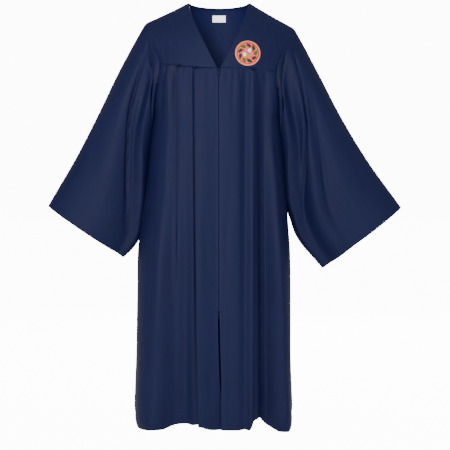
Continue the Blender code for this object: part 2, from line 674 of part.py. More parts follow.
def strip_layout(width, top, height, columns=4, rows=2):
    """Points and faces of a flat upright oblong centred on x = 0."""
    xs, zs = np.linspace(-width / 2, width / 2, columns + 1), np.linspace(top, top - height, rows + 1)
    points = [(x, z) for z in zs for x in xs]
    wide = columns + 1
    faces = [
        (r * wide + c, r * wide + c + 1, (r + 1) * wide + c + 1, (r + 1) * wide + c)
        for r in range(rows)
        for c in range(columns)
    ]
    return points, faces


def box(name, size, place, surface, collection):
    bpy.ops.mesh.primitive_cube_add(size=1)
    made = bpy.context.object
    made.name = name
    for vertex in made.data.vertices:
        vertex.co = Vector(place) + Vector(c * s for c, s in zip(vertex.co, size))
    for owner in list(made.users_collection):
        owner.objects.unlink(made)
    collection.objects.link(made)
    if surface:
        made.data.materials.append(surface)
    return made


def combine(made, operation, other):
    boolean = made.modifiers.new(operation.lower(), "BOOLEAN")
    boolean.operation = operation
    boolean.object = other
    other.hide_render = True
    other.display_type = "WIRE"


def round_edges(made, width, segments=2):
    bevel = made.modifiers.new("rounded", "BEVEL")
    bevel.width = width
    bevel.segments = segments
    bevel.limit_method = "ANGLE"


def add_zip_pull(metal, collection, cutters):
    """The slider with its bridge, and the pull tab that swings on a bar under the bridge."""
    centre_y = -float(level(3, SLIDER_Z))
    slope = float(level(3, SLIDER_Z - SLIDER_SIZE[2]) - level(3, SLIDER_Z)) / SLIDER_SIZE[2]
    frame = bpy.data.objects.new("zip_pull_frame", None)
    frame.location = (0, centre_y, SLIDER_Z)
    frame.rotation_euler = (-math.atan(slope), 0, 0)
    collection.objects.link(frame)

    slider_y = -WALL / 2
    front_of_slider = slider_y - SLIDER_SIZE[1] / 2
    slider = box("zip_slider", SLIDER_SIZE, (0, slider_y, 0), metal, collection)
    round_edges(slider, SLIDER_ROUNDING)
    bridge_y = front_of_slider + BRIDGE_SUNK - BRIDGE_SIZE[1] / 2
    bridge = box("zip_bridge", BRIDGE_SIZE, (0, bridge_y, 0), None, cutters)
    window_y = front_of_slider - BRIDGE_WINDOW[0] / 2
    window = box("zip_bridge_window", (CUT_THROUGH, *BRIDGE_WINDOW), (0, window_y, 0), None, cutters)
    combine(bridge, "DIFFERENCE", window)
    combine(slider, "UNION", bridge)

    pull = box("zip_pull_tab", PULL_SIZE, (0, 0, PULL_BAR / 2 - PULL_SIZE[2] / 2), metal, collection)
    eye_z = -PULL_BAR / 2 - PULL_EYE[1] / 2
    eye = box("zip_pull_eye", (PULL_EYE[0], CUT_THROUGH, PULL_EYE[1]), (0, 0, eye_z), None, cutters)
    combine(pull, "DIFFERENCE", eye)
    for made in (slider, bridge, window):
        made.parent = frame
    for made in (pull, eye):
        made.parent = frame
        made.location = (0, front_of_slider - BRIDGE_WINDOW[0] / 2, PULL_AXIS_UP)


def clear_scene():
    for made in list(bpy.data.objects):
        bpy.data.objects.remove(made, do_unlink=True)


def build():
    clear_scene()
    gown = bpy.data.collections.new("graduation_gown")
    cutters = bpy.data.collections.new("cutters")
    for collection in (gown, cutters):
        bpy.context.scene.collection.children.link(collection)
    navy = material("navy_gown_cloth", (0.014, 0.023, 0.075), 0.6)
    tape = material("navy_zip_tape", (0.010, 0.014, 0.045), 0.7)
    metal = material("grey_zip_metal", (0.32, 0.34, 0.40), 0.35, 0.9)
    white = material("white_label_cloth", (0.80, 0.80, 0.78), 0.8)
    salmon = material("salmon_patch_cloth", (0.75, 0.22, 0.11), 0.8)

    back_yoke = draw_in(back_yoke_sheet(), ("bottom", "first", "last"))
    back_yoke = draw_in(back_yoke, ("top",), SHOULDER_DRAW_IN)
    cloth("yoke_back", grid_mesh("yoke_back", back_yoke), navy, gown)
    back = draw_in(back_sheet(), ("top", "first", "last"))
    cloth("back", grid_mesh("back", back), navy, gown)
    for side, word in SIDE_WORDS.items():
        yoke = draw_in(front_yoke_sheet(side), ("bottom", "last"))
        yoke = draw_in(yoke, ("top",), SHOULDER_DRAW_IN)
        cloth(f"yoke_front_{word}", grid_mesh("yoke", yoke), navy, gown)
        front = draw_in(front_sheet(side), ("top", "last"))
        cloth(f"front_{word}", grid_mesh("front", front), navy, gown)
        cloth(f"sleeve_{word}", grid_mesh("sleeve", sleeve_sheet(side), closed=True), navy, gown)
        strip = grid_mesh("tape", zip_tape_sheet(side))
        cloth(f"zip_tape_{word}", strip, tape, gown, ZIP_TAPE_THICKNESS)
    left_yoke = draw_in(front_yoke_sheet(LEFT), ("top", "bottom", "last"))
    points, faces = disc_layout(PATCH_X, PATCH_Z, PATCH_RADIUS, PATCH_RINGS, PATCH_SIDES)
    laid_on("emblem_patch", points, faces, left_yoke, PATCH_GAP, PATCH_THICKNESS, salmon, gown)
    points, faces = strip_layout(LABEL_SIZE[0], LABEL_TOP_Z, LABEL_SIZE[1])
    laid_on("neck_label", points, faces, back_yoke, LAID_ON_GAP, LABEL_THICKNESS, white, gown)
    add_zip_pull(metal, gown, cutters)


build()
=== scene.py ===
# %% [markdown]
# # Graduation gown: how it looks
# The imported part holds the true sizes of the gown, with every panel as a plain wall of cloth.
# This script dresses it. Each panel is made again as a thin, fine sheet on the same lines, with
# its pleats, gathers, creases, turned edges and stitches. Only the slider keeps its solid.

# %% Load the frame
import math

import bpy
import numpy as np
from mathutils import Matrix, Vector


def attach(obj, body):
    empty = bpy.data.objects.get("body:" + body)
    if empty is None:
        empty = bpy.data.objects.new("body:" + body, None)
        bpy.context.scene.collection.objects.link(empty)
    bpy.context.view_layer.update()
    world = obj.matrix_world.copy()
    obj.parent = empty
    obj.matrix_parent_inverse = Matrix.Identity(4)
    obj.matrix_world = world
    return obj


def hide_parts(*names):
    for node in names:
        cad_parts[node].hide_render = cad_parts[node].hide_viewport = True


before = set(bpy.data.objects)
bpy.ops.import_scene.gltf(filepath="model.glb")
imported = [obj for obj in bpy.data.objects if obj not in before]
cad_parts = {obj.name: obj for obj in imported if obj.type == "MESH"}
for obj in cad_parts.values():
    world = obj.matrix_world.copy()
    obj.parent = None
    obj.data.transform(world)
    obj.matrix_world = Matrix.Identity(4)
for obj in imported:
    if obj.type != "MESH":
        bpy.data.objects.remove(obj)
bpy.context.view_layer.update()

print("nodes:", ", ".join(sorted(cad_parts)))

# %% [markdown]
# ## Camera
# The photo looks straight at the front from about chest height. The camera stands 4 m away,
# and its lens fits a square of 1.345 m at the gown, so that a pixel of the photo is 3 mm.
# It looks down by three degrees, to the middle of the gown, so that no lens shift is needed.

# %% Camera
VIEW_SIZE, PHOTO_PIXELS = 1.345, 450
VIEW_CENTRE_X, VIEW_CENTRE_Z = 0.018, -0.660
CAMERA_DISTANCE = 4.0
CAMERA_HEIGHT = -0.45
SENSOR = 36.0

lens = bpy.data.cameras.new("studio_camera")
lens.sensor_width = SENSOR
lens.lens = SENSOR * CAMERA_DISTANCE / VIEW_SIZE
camera = bpy.data.objects.new("studio_camera", lens)
camera.location = (VIEW_CENTRE_X, -CAMERA_DISTANCE, CAMERA_HEIGHT)
looks_down = math.atan2(CAMERA_HEIGHT - VIEW_CENTRE_Z, CAMERA_DISTANCE)
camera.rotation_euler = (math.pi / 2 - looks_down, 0, 0)
bpy.context.scene.collection.objects.link(camera)
bpy.context.scene.camera = camera
print(f"lens {lens.lens:.1f} mm, {VIEW_SIZE / PHOTO_PIXELS * 1000:.1f} mm to a pixel")

# %% [markdown]
# ## Colours and nodes
# Colours are written as the hex values that an eye reads from a screen, and one function turns
# them into the linear numbers that a shader needs. One more function adds a node, sets its
# values and links what comes from other nodes, so that a material reads from top to bottom.
# Threads that stand out of a surface are a wave on the sheet's own UV map, used as a bump.


# %% Colours and nodes
def linear(hex_colour):
    """Linear colour of an sRGB hex value: c/12.92 when dark, else ((c + 0.055)/1.055)^2.4."""
    srgb = np.array([int(hex_colour[i:i + 2], 16) for i in (1, 3, 5)]) / 255
    rgb = np.where(srgb <= 0.04045, srgb / 12.92, ((srgb + 0.055) / 1.055) ** 2.4)
    return (*rgb.tolist(), 1.0)


def add(tree, kind, inputs=None, **settings):
    """Adds one node. Settings are its own, and inputs are values, or sockets to link."""
    node = tree.nodes.new(kind)
    for name, value in settings.items():
        setattr(node, name, value)
    for name, value in (inputs or {}).items():
        if isinstance(value, bpy.types.NodeSocket):
            tree.links.new(value, node.inputs[name])
        else:
            node.inputs[name].default_value = value
    return node


def new_material(name, **values):
    """A Principled material. Values are set on the shader's own sockets, _ standing for a space."""
    made = bpy.data.materials.new(name)
    made.use_nodes = True
    tree = made.node_tree
    shader = tree.nodes["Principled BSDF"]
    for socket, value in values.items():
        shader.inputs[socket.replace("_", " ")].default_value = value
    return made, tree, shader


# A wave texture repeats every 2 pi / 20 at a scale of 1.
WAVE_PERIOD = 2 * math.pi / 20


def add_threads(tree, shader, spacing, direction, strength, depth, distortion=0.0):
    """Bumps a shader with threads this far apart, in metres of the sheet's UV map."""
    threads = {
        "Vector": add(tree, "ShaderNodeUVMap", uv_map="cloth").outputs["UV"],
        "Scale": WAVE_PERIOD / spacing,
        "Distortion": distortion,
    }
    wave = add(tree, "ShaderNodeTexWave", threads, bands_direction=direction).outputs["Fac"]
    bump = add(tree, "ShaderNodeBump", {"Strength": strength, "Distance": depth, "Height": wave})
    tree.links.new(bump.outputs["Normal"], shader.inputs["Normal"])


print("navy in linear light:", [round(c, 4) for c in linear("#1F2B4D")])

# %% [markdown]
# ## Gown cloth
# Graduation gowns are sewn from polyester poplin: a light plain weave of smooth bright yarn with
# a matte finish. The eye gets a deep navy with a soft, wide shine on what faces the light, and
# faint streaks along the threads. The real threads lie 0.25 mm apart, too fine to show at this
# size, so the weave is drawn at 1.5 mm. The pattern follows the sheet's own UV map in metres.
# Pressed edges are a little lighter, and the sheet marks them as "pressed". The back yoke's side
# toward the wearer is a lighter navy, which is painted light: it stands in for light reaching into
# the neck, where that side shows.

# %% Gown cloth
NAVY, NAVY_LIGHT, NAVY_PRESSED = "#0D1235", "#12173B", "#191E46"
# Lighter navy for the back yoke's inner side: painted light in place of the shade inside the neck.
LIT_INSIDE_NAVY, LIT_INSIDE_NAVY_LIGHT = "#151B46", "#1A2050"
WEAVE_SPACING, WEAVE_DEPTH = 0.0015, 0.00012
SLUB_WIDTH, SLUB_LENGTH = 0.004, 0.22
MOTTLE_SIZE = 0.11
# The two noises add up to about 1, and their middle part goes from the dark yarn to the light.
STREAKS_FROM, STREAKS_TO = 0.7, 1.3
SMOOTHEST, ROUGHEST = 0.52, 0.62


def polyester_poplin(name, yarn_dark, yarn_light):
    """Poplin whose yarn wavers between two shades."""
    made, tree, shader = new_material(
        name, Specular_IOR_Level=0.13,
        Sheen_Weight=0.02, Sheen_Roughness=0.45, Sheen_Tint=linear("#3C4C8C"),
    )
    uv = add(tree, "ShaderNodeUVMap", uv_map="cloth").outputs["UV"]
    threads = {"Vector": uv, "Scale": WAVE_PERIOD / WEAVE_SPACING}
    warp = add(tree, "ShaderNodeTexWave", threads, bands_direction="X").outputs["Fac"]
    weft = add(tree, "ShaderNodeTexWave", threads, bands_direction="Y").outputs["Fac"]
    weave = add(tree, "ShaderNodeMath", {0: warp, 1: weft}, operation="MULTIPLY").outputs[0]
    stretched = add(
        tree, "ShaderNodeMapping",
        {"Vector": uv, "Scale": (1 / SLUB_WIDTH, 1 / SLUB_LENGTH, 1.0)},
    ).outputs[0]
    slub = add(tree, "ShaderNodeTexNoise", {"Vector": stretched, "Scale": 1.0, "Detail": 3.0})
    place = add(tree, "ShaderNodeTexCoord").outputs["Object"]
    mottle = add(
        tree, "ShaderNodeTexNoise", {"Vector": place, "Scale": 1 / MOTTLE_SIZE, "Detail": 2.0},
    )
    both = add(
        tree, "ShaderNodeMath", {0: slub.outputs["Fac"], 1: mottle.outputs["Fac"]},
        operation="ADD",
    ).outputs[0]
    streaks = add(
        tree, "ShaderNodeMapRange",
        {"Value": both, "From Min": STREAKS_FROM, "From Max": STREAKS_TO},
    ).outputs["Result"]
    yarn = add(
        tree, "ShaderNodeMix", {"Factor": streaks, 6: linear(yarn_dark), 7: linear(yarn_light)},
        data_type="RGBA",
    ).outputs[2]
    pressed = add(tree, "ShaderNodeAttribute", attribute_name="pressed").outputs["Fac"]
    colour = add(
        tree, "ShaderNodeMix", {"Factor": pressed, 6: yarn, 7: linear(NAVY_PRESSED)},
        data_type="RGBA",
    ).outputs[2]
    tree.links.new(colour, shader.inputs["Base Color"])
    rough = add(
        tree, "ShaderNodeMapRange",
        {"Value": mottle.outputs["Fac"], "From Min": 0.3, "From Max": 0.7,
         "To Min": SMOOTHEST, "To Max": ROUGHEST},
    ).outputs["Result"]
    tree.links.new(rough, shader.inputs["Roughness"])
    bump = add(
        tree, "ShaderNodeBump", {"Strength": 0.35, "Distance": WEAVE_DEPTH, "Height": weave},
    ).outputs["Normal"]
    tree.links.new(bump, shader.inputs["Normal"])
    return made


POPLIN = polyester_poplin("polyester_poplin_navy", NAVY, NAVY_LIGHT)
POPLIN_PAINTED_LIGHT_INSIDE = polyester_poplin("polyester_poplin_navy_inside_painted_light", LIT_INSIDE_NAVY, LIT_INSIDE_NAVY_LIGHT)
print("made", POPLIN.name, "and", POPLIN_PAINTED_LIGHT_INSIDE.name)

# %% [markdown]
# ## Curves for folds
# A fold is given by a few numbers at a few places, and a cubic curve runs through them. The
# smooth one takes its slopes from its neighbours. The monotone one turns only at the given
# places, so a fold keeps its height and doesn't ripple beside a steep step.


# %% Curves for folds
def hermite(start, end, leave, arrive, t):
    """Cubic from start to end that leaves and arrives with those slopes, t going from 0 to 1."""
    return (
        (2 * t**3 - 3 * t**2 + 1) * start
        + (t**3 - 2 * t**2 + t) * leave
        + (3 * t**2 - 2 * t**3) * end
        + (t**3 - t**2) * arrive
    )


def cubic(places, values, slopes, at):
    """Cubic between the two places on either side, with those slopes at its ends."""
    i = np.clip(np.searchsorted(places, at, side="right") - 1, 0, len(places) - 2)
    span = places[i + 1] - places[i]
    t = (at - places[i]) / span
    if values.ndim > 1:
        t, span = t[..., None], span[..., None]
    return hermite(values[i], values[i + 1], span * slopes[i], span * slopes[i + 1], t)


def smooth_curve(places, values, at):
    """Cubic through the values, each slope being that of the line past its two neighbours."""
    places, values, at = (np.asarray(a, float) for a in (places, values, at))
    return cubic(places, values, np.gradient(values, places, axis=0), at)


def monotone_curve(places, values, at):
    """Cubic whose slope is the harmonic mean of the two chords, or nothing where they turn."""
    places, values = np.asarray(places, float), np.asarray(values, float)
    chord = np.diff(values) / np.diff(places)
    before, after = chord[:-1], chord[1:]
    same_way = before * after > 0
    slopes = np.zeros(len(places))
    total = np.where(same_way, before + after, 1.0)
    slopes[1:-1] = np.where(same_way, 2 * before * after / total, 0.0)
    return cubic(places, values, slopes, np.asarray(at, float))


def smooth_step(t):
    """0 before 0, 1 after 1 and 3t^2 - 2t^3 between them."""
    t = np.clip(t, 0.0, 1.0)
    return t * t * (3 - 2 * t)


def fade(at, start, end):
    """A smooth step from 0 at the start to 1 at the end."""
    return smooth_step((at - start) / (end - start))


def unit(vectors):
    """The vectors at length 1."""
    return vectors / np.maximum(np.linalg.norm(vectors, axis=-1, keepdims=True), 1e-12)


def run_along(line):
    """Distance of each point of a line from its first, counted along it."""
    return np.concatenate([[0], np.cumsum(np.linalg.norm(np.diff(line, axis=0), axis=1))])


def read_off(places, run, values):
    """Rows of values at these places of a run, straight between the given ones."""
    return np.stack([np.interp(places, run, column) for column in values.T], axis=-1)


print("a fold between 0 and 1 is at", smooth_step(0.25), "a quarter of the way")

# %% [markdown]
# ## The gown's own lines
# These are the driving sizes of the part, in metres: the two armholes, the body's width and
# depth at ten heights, and the ridges and troughs of each front and the back. The sheets below
# follow the same lines as the solids, only finer and with a livelier hem, so the cloth lies
# where the part says. The wearer's right is -X and the front is -Y.

# %% The gown's own lines
RIGHT, LEFT = -1, 1
SIDE_WORDS = {RIGHT: "right", LEFT: "left"}
NECK_HALF_WIDTH, NECK_POINT_Y = 0.0915, 0.005
V_POINT_Z, BACK_NECK_Y, BACK_NECK_Z = -0.198, 0.080, -0.008
BACK_YOKE_Z, HEM_Z = -0.200, -1.250
HEM_LIFT_AT_SIDE = 0.022
HEM_DROP_AT_RIDGE = {RIGHT: 0.007, LEFT: 0.018}
SHOULDER_HOLLOW = 0.0015
V_EDGE_SLOPES = ((-0.020, -0.175, -0.120), (-0.135, -0.045, -0.235))
BACK_NECK_SLOPES = ((-0.010, 0.120, -0.008), (-0.150, 0.0, 0.0))
BACK_CENTRE_SLOPES = ((0.0, 0.035, -0.110), (0.0, 0.004, -0.180))

# Columns: turn, distance out on the right and left, y, height on the right and left.
ARMHOLE = (
    (0.00, 0.2180, 0.2235, 0.004, -0.0600, -0.0750),
    (0.10, 0.2060, 0.2080, -0.034, -0.0950, -0.1100),
    (0.20, 0.1900, 0.1880, -0.057, -0.1370, -0.1480),
    (0.30, 0.1720, 0.1680, -0.074, -0.1850, -0.2050),
    (0.38, 0.1830, 0.1740, -0.070, -0.2450, -0.2580),
    (0.45, 0.1985, 0.1848, -0.038, -0.3080, -0.3150),
    (0.50, 0.2010, 0.1860, 0.008, -0.3350, -0.3400),
    (0.57, 0.1960, 0.1840, 0.052, -0.2980, -0.3050),
    (0.66, 0.1880, 0.1820, 0.080, -0.2300, -0.2380),
    (0.75, 0.1880, 0.1880, 0.086, -0.1750, -0.1850),
    (0.87, 0.2050, 0.2080, 0.055, -0.1050, -0.1190),
)
FRONT_CORNER_TURN, UNDERARM_TURN, BACK_CORNER_TURN = 0.30, 0.50, 0.75

# Columns: height, half width on the right and left, depth in front and behind, squareness.
BODY_LEVELS = (
    (-0.150, 0.200, 0.190, 0.104, 0.096, 2.00),
    (-0.198, 0.200, 0.190, 0.112, 0.100, 2.00),
    (-0.335, 0.201, 0.186, 0.126, 0.110, 2.10),
    (-0.450, 0.209, 0.192, 0.134, 0.118, 2.15),
    (-0.550, 0.219, 0.199, 0.138, 0.125, 2.20),
    (-0.650, 0.232, 0.206, 0.142, 0.131, 2.25),
    (-0.720, 0.241, 0.211, 0.144, 0.135, 2.30),
    (-0.850, 0.243, 0.211, 0.147, 0.142, 2.45),
    (-1.050, 0.245, 0.207, 0.150, 0.150, 2.65),
    (-1.250, 0.247, 0.208, 0.152, 0.156, 2.85),
)
SIDE_SEAM_Y, SIDE_SEAM_SETTLES_OVER = 0.006, 0.05

# Columns: distance round from the centre at the yoke and at the hem, rise at the four heights,
# and how finely the sheet is divided up to the next line, in columns.
FOLD_HEIGHTS = (-0.20, -0.45, -0.75, -1.25)
FRONT_FOLDS = {
    RIGHT: (
        (0.000, 0.000, 0.0000, 0.0000, 0.0000, 0.0000, 20),
        (0.0670, 0.0560, 0.0060, 0.0080, 0.0090, 0.0060, 16),
        (0.0725, 0.0645, -0.0090, -0.0110, -0.0120, -0.0120, 8),
        (0.0790, 0.0720, -0.0010, -0.0020, -0.0060, -0.0140, 8),
        (0.0930, 0.1020, 0.0020, -0.0010, -0.0100, -0.0300, 12),
        (0.1180, 0.1270, 0.0050, 0.0030, -0.0040, -0.0260, 14),
        (0.1232, 0.1340, -0.0085, -0.0070, -0.0050, -0.0240, 12),
        (0.1480, 0.1980, 0.0030, 0.0070, 0.0180, 0.0240, 20),
    ),
    LEFT: (
        (0.000, 0.000, 0.0000, 0.0000, 0.0000, 0.0000, 20),
        (0.0560, 0.0520, 0.0010, 0.0020, 0.0020, 0.0020, 10),
        (0.0790, 0.0750, -0.0050, -0.0055, -0.0045, -0.0040, 14),
        (0.1000, 0.0950, 0.0050, 0.0060, 0.0070, 0.0060, 12),
        (0.1060, 0.1040, 0.0020, 0.0020, 0.0010, -0.0030, 8),
        (0.1130, 0.1180, -0.0010, -0.0030, -0.0060, -0.0120, 10),
        (0.1300, 0.1440, -0.0060, -0.0130, -0.0240, -0.0370, 14),
        (0.1360, 0.1640, -0.0060, -0.0135, -0.0250, -0.0400, 16),
        (0.1580, 0.2080, 0.0030, 0.0080, 0.0150, 0.0230, 20),
    ),
}
# Columns: distance round from the centre at the yoke and at the hem, rise at the yoke and hem.
BACK_FLUTES = (
    (-0.156, -0.262, 0.004, 0.024),
    (-0.126, -0.206, 0.006, 0.037),
    (-0.094, -0.150, 0.007, 0.030),
    (-0.063, -0.103, 0.008, 0.040),
    (-0.031, -0.049, 0.008, 0.029),
    (0.001, 0.006, 0.009, 0.038),
    (0.035, 0.052, 0.008, 0.032),
    (0.064, 0.108, 0.008, 0.041),
    (0.098, 0.158, 0.006, 0.028),
    (0.130, 0.214, 0.005, 0.033),
)
TROUGH_SHARE = 0.75
FOLD_OPENS_OVER = 0.012
# The hem lifts in a trough by a share of its depth, the more so toward the hem.
HEM_LIFT_SHARE, TROUGHS_LIFT = 0.46, (-0.85, -1.25)
# The hem's corner at the side seam is rounded off by up to this much, over this height.
HEM_CORNER, HEM_CORNER_HEIGHT = 0.026, 0.058
print(len(BACK_FLUTES), "flutes in the back,", len(FRONT_FOLDS[RIGHT]), "lines in a front")

# %% [markdown]
# ## A row of the body
# Below the yokes the body is a stack of rows. Half a row runs from the centre to the armhole or
# the side seam on a superellipse, which is an ellipse with squarer shoulders. Working in halves
# lets the wearer's right be wider than the left, as the gown hangs in the photo.

# %% A row of the body
FINE_STEPS = 220


def armhole(side, turn):
    """Points of an armhole's closed line at these turns, smooth through the table's points."""
    rows = np.array(ARMHOLE)
    out, height = (1, 4) if side == RIGHT else (2, 5)
    ring = np.stack([side * rows[:, out], rows[:, 3], rows[:, height]], axis=1)
    wrapped = np.concatenate([ring[-3:], ring, ring[:3]])
    turns = np.concatenate([rows[-3:, 0] - 1, rows[:, 0], rows[:3, 0] + 1])
    return smooth_curve(turns, wrapped, np.mod(turn, 1.0))


def armhole_at_height(side, front, height):
    """Plan position of the armhole's front or back line at this height."""
    turns = (FRONT_CORNER_TURN, UNDERARM_TURN) if front else (UNDERARM_TURN, BACK_CORNER_TURN)
    points = armhole(side, np.linspace(*turns, FINE_STEPS))
    points = points[np.argsort(points[:, 2])]
    return read_off(height, points[:, 2], points[:, :2])


def level(column, heights):
    """One column of the body's table at these heights."""
    rows = np.array(BODY_LEVELS)[::-1]
    return smooth_curve(rows[:, 0], rows[:, column], np.clip(heights, rows[0, 0], rows[-1, 0]))


def yoke_seam_height(side, front, share):
    """Height of the seam under the yoke, from the centre (share 0) to the armhole (share 1)."""
    corner = armhole(side, FRONT_CORNER_TURN if front else BACK_CORNER_TURN)[2]
    centre = V_POINT_Z if front else BACK_YOKE_Z
    return centre + (corner - centre) * smooth_step(share) ** 1.5


def edge_point(side, front, height):
    """Where half a row ends: at the armhole above the underarm, at the side seam below it."""
    underarm = armhole(side, UNDERARM_TURN)
    if height > underarm[2]:
        return armhole_at_height(side, front, height)
    half_width = level(1 if side == RIGHT else 2, height)
    half_width = half_width - HEM_CORNER * max(1 - (height - HEM_Z) / HEM_CORNER_HEIGHT, 0) ** 3
    settled = math.exp((height - underarm[2]) / SIDE_SEAM_SETTLES_OVER)
    return np.array([side * half_width, SIDE_SEAM_Y + (underarm[1] - SIDE_SEAM_Y) * settled])


def plain_row(side, front, down, share):
    """Half a row with no folds: x = X (sin a / sin A)^(2/n), and y goes with (cos a)^(2/n).

    A is the angle at which the superellipse is as deep as the edge that the row ends on.
    """
    seam = yoke_seam_height(side, front, share)
    hem = HEM_Z + HEM_LIFT_AT_SIDE * share**6
    if front:
        hem = hem - HEM_DROP_AT_RIDGE[side] * np.sin(math.pi * share**2) ** 2
    z = seam + (hem - seam) * down
    edge_x, edge_y = edge_point(side, front, z[-1])
    power = 2 / level(5, z[-1])
    centre_y = level(3, z) * -1 if front else level(4, z)
    way_round = (edge_y - centre_y[-1]) / (SIDE_SEAM_Y - centre_y[-1])
    last = math.acos(max(1 - way_round, 0) ** (1 / power))
    angle = share * last
    x = edge_x * (np.sin(angle) / math.sin(last)) ** power
    cosine = np.clip(np.cos(angle), 0, 1) ** power
    toward_edge = (1 - cosine) / (1 - np.clip(math.cos(last), 0, 1) ** power)
    return np.stack([x, centre_y + (edge_y - centre_y) * toward_edge, z], axis=-1)


def half_shares():
    """Fine shares from the centre to the edge, crowded where the row bends most."""
    return np.linspace(0, 1, FINE_STEPS) ** 1.3


def signed_length(row):
    """Distance along a row in plan from the middle plane, minus on the wearer's right."""
    run = run_along(row[:, :2])
    return run - np.interp(0.0, row[:, 0], run)


def row_normals(row, way_out):
    """Level unit normals of a row: its direction turned by a quarter."""
    tangent = np.gradient(row[:, :2], axis=0)
    normal = np.stack([tangent[:, 1], -tangent[:, 0], np.zeros(len(row))], axis=1)
    return unit(normal) * way_out


def columns_between(counts):
    """Columns of a sheet as places between numbered lines: 0, 1/n, 2/n and so on."""
    places = [i + k / n for i, n in enumerate(counts) for k in range(n)]
    return np.array(places + [len(counts)])


hem_row = plain_row(LEFT, True, 1.0, half_shares())
print(f"half a row at the hem is {signed_length(hem_row)[-1]:.3f} m long")

# %% [markdown]
# ## Folding a row
# A row takes its folds from the numbered lines: the cloth stands out on a ridge and in at a
# trough. A pressed pleat goes further, because its edge lies over the cloth beside it. There the
# points also slide along the row, by so much that the sheet turns back on itself like an S.
# Creases are added one by one. Each is a shallow trough along a line, deepest at one share of its way
# and fading to both ends, and no two are quite alike.

# %% Folding a row
# Columns: place at the yoke and at the hem, half width of the turn, how far it turns back at the
# four heights. More than 1 lays the edge over its neighbour.
PLEATS = {
    RIGHT: (
        (0.0698, 0.0603, 0.0050, 2.3, 2.1, 1.9, 1.6),
        (0.1205, 0.1305, 0.0045, 1.9, 1.4, 0.0, 0.0),
    ),
    LEFT: (
        (0.1025, 0.0990, 0.0045, 1.1, 0.8, 0.1, 0.1),
    ),
}


def fold_row(row, places, rises, columns, way_out, slide):
    """A row at its columns: points slid along it, normals, the lines' rise, and the places."""
    length = signed_length(row)
    at = np.interp(columns, np.arange(len(places)), places)
    on_row = at + slide(at)
    point = read_off(on_row, length, row)
    normal = read_off(on_row, length, row_normals(row, way_out))
    return point, normal, monotone_curve(places, rises, at), at


def pleat_slide(side, down, height):
    """How far points slide: minus k d exp(-(d/w)^2), d being the distance from the pleat."""
    pleats = PLEATS[side]

    def slide(at):
        moved = np.zeros_like(at)
        for top, bottom, half_width, *turns_back in pleats:
            line = side * (top + (bottom - top) * down)
            k = smooth_curve(FOLD_HEIGHTS[::-1], turns_back[::-1], height)
            moved -= k * (at - line) * np.exp(-(((at - line) / half_width) ** 2))
        return moved

    return slide


def creases(across, down, table):
    """Sum of troughs: each is depth exp(-(distance/width)^2) sin^2(pi share^k) along its line."""
    rise = np.zeros_like(across)
    for start, end, top, bottom, deepest, depth, half_width, bow in table:
        share = np.clip((down - top) / (bottom - top), 0, 1)
        line = start + (end - start) * share + bow * np.sin(np.pi * share)
        fade = np.sin(np.pi * share ** (math.log(0.5) / math.log(deepest))) ** 2
        rise -= depth * fade * np.exp(-(((across - line) / half_width) ** 2))
    return rise


def normals_of(grid, inside):
    """Unit normals of a grid, across times down, turned to point away from what is inside.

    What is inside is one point for a panel. A sleeve has one for each ring, and closes round.
    """
    if np.ndim(inside) > 1:
        around = np.roll(grid, -1, axis=1) - np.roll(grid, 1, axis=1)
    else:
        around = np.gradient(grid, axis=1)
    normal = unit(np.cross(around, np.gradient(grid, axis=0)))
    return normal * np.sign(np.sum(normal * (grid - inside)))


def ring_middles(grid):
    """The middle of each ring of a sleeve."""
    return grid.mean(axis=1, keepdims=True)


print("pleats:", {SIDE_WORDS[side]: len(rows) for side, rows in PLEATS.items()})

# %% [markdown]
# ## Turned edges and hems
# A cut edge never shows on a sewn gown. At a seam both edges turn in and meet, which the eye
# reads as a fine groove. At the hem and the cuffs the cloth turns up inside and is stitched
# down. Both are rows added to the grid: a quarter or half circle, then a stretch of cloth.

# %% Turned edges and hems
CLOTH_THICKNESS = 0.0007
EDGE_ROLL, EDGE_REACH = 0.0011, 0.0060
SEAM_PRESS, SEAM_PRESS_WIDTH = 0.0016, 0.0035
HEM_ROLL, HEM_DEPTH, CUFF_DEPTH = 0.0011, 0.020, 0.014
# How strongly an edge is marked as pressed, and over what distance the mark fades.
PRESSED_EDGE, PRESSED_YOKE, PRESSED_BACK_YOKE = 0.6, 0.1, 0.3
MARK_WIDTH, YOKE_MARK_WIDTH = 0.005, 0.004
# Degrees at which a turned edge has a row of points.
QUARTER_STEPS, HALF_STEPS = (30, 60, 90), (36, 72, 108, 144, 180)


def edge_first(grid, edge):
    """The grid with the named edge as its first row."""
    turned = grid.transpose(1, 0, 2) if edge in ("first", "last") else grid
    return turned[::-1] if edge in ("bottom", "last") else turned


def edge_back(turned, edge):
    """Undoes edge_first."""
    grid = turned[::-1] if edge in ("bottom", "last") else turned
    return grid.transpose(1, 0, 2) if edge in ("first", "last") else grid


def roll_over(rows, out, radius, degrees):
    """Draws the first row back by the radius, and rolls it in by an arc of that radius."""
    along = unit(rows[0] - rows[1])
    rows[0] -= along * radius
    t = np.radians(degrees)[:, None, None]
    return rows[0] + radius * (along * np.sin(t) - out * (1 - np.cos(t)))


def turn_in(grid, inside, edges, reach=EDGE_REACH):
    """Rolls each edge over by a quarter circle, then goes straight in."""
    for edge in edges:
        out = edge_first(normals_of(grid, inside), edge)[0]
        rows = edge_first(grid.copy(), edge)
        arc = roll_over(rows, out, EDGE_ROLL, QUARTER_STEPS)
        straight = (arc[-1] - out * reach)[None]
        grid = edge_back(np.concatenate([straight, arc[::-1], rows]), edge)
    return grid


def lengths_along(grid, axis):
    """Distance from the first point of each line of the grid along an axis."""
    steps = np.linalg.norm(np.diff(grid, axis=axis), axis=-1)
    return np.concatenate([np.zeros_like(np.take(steps, [0], axis)), np.cumsum(steps, axis)], axis)


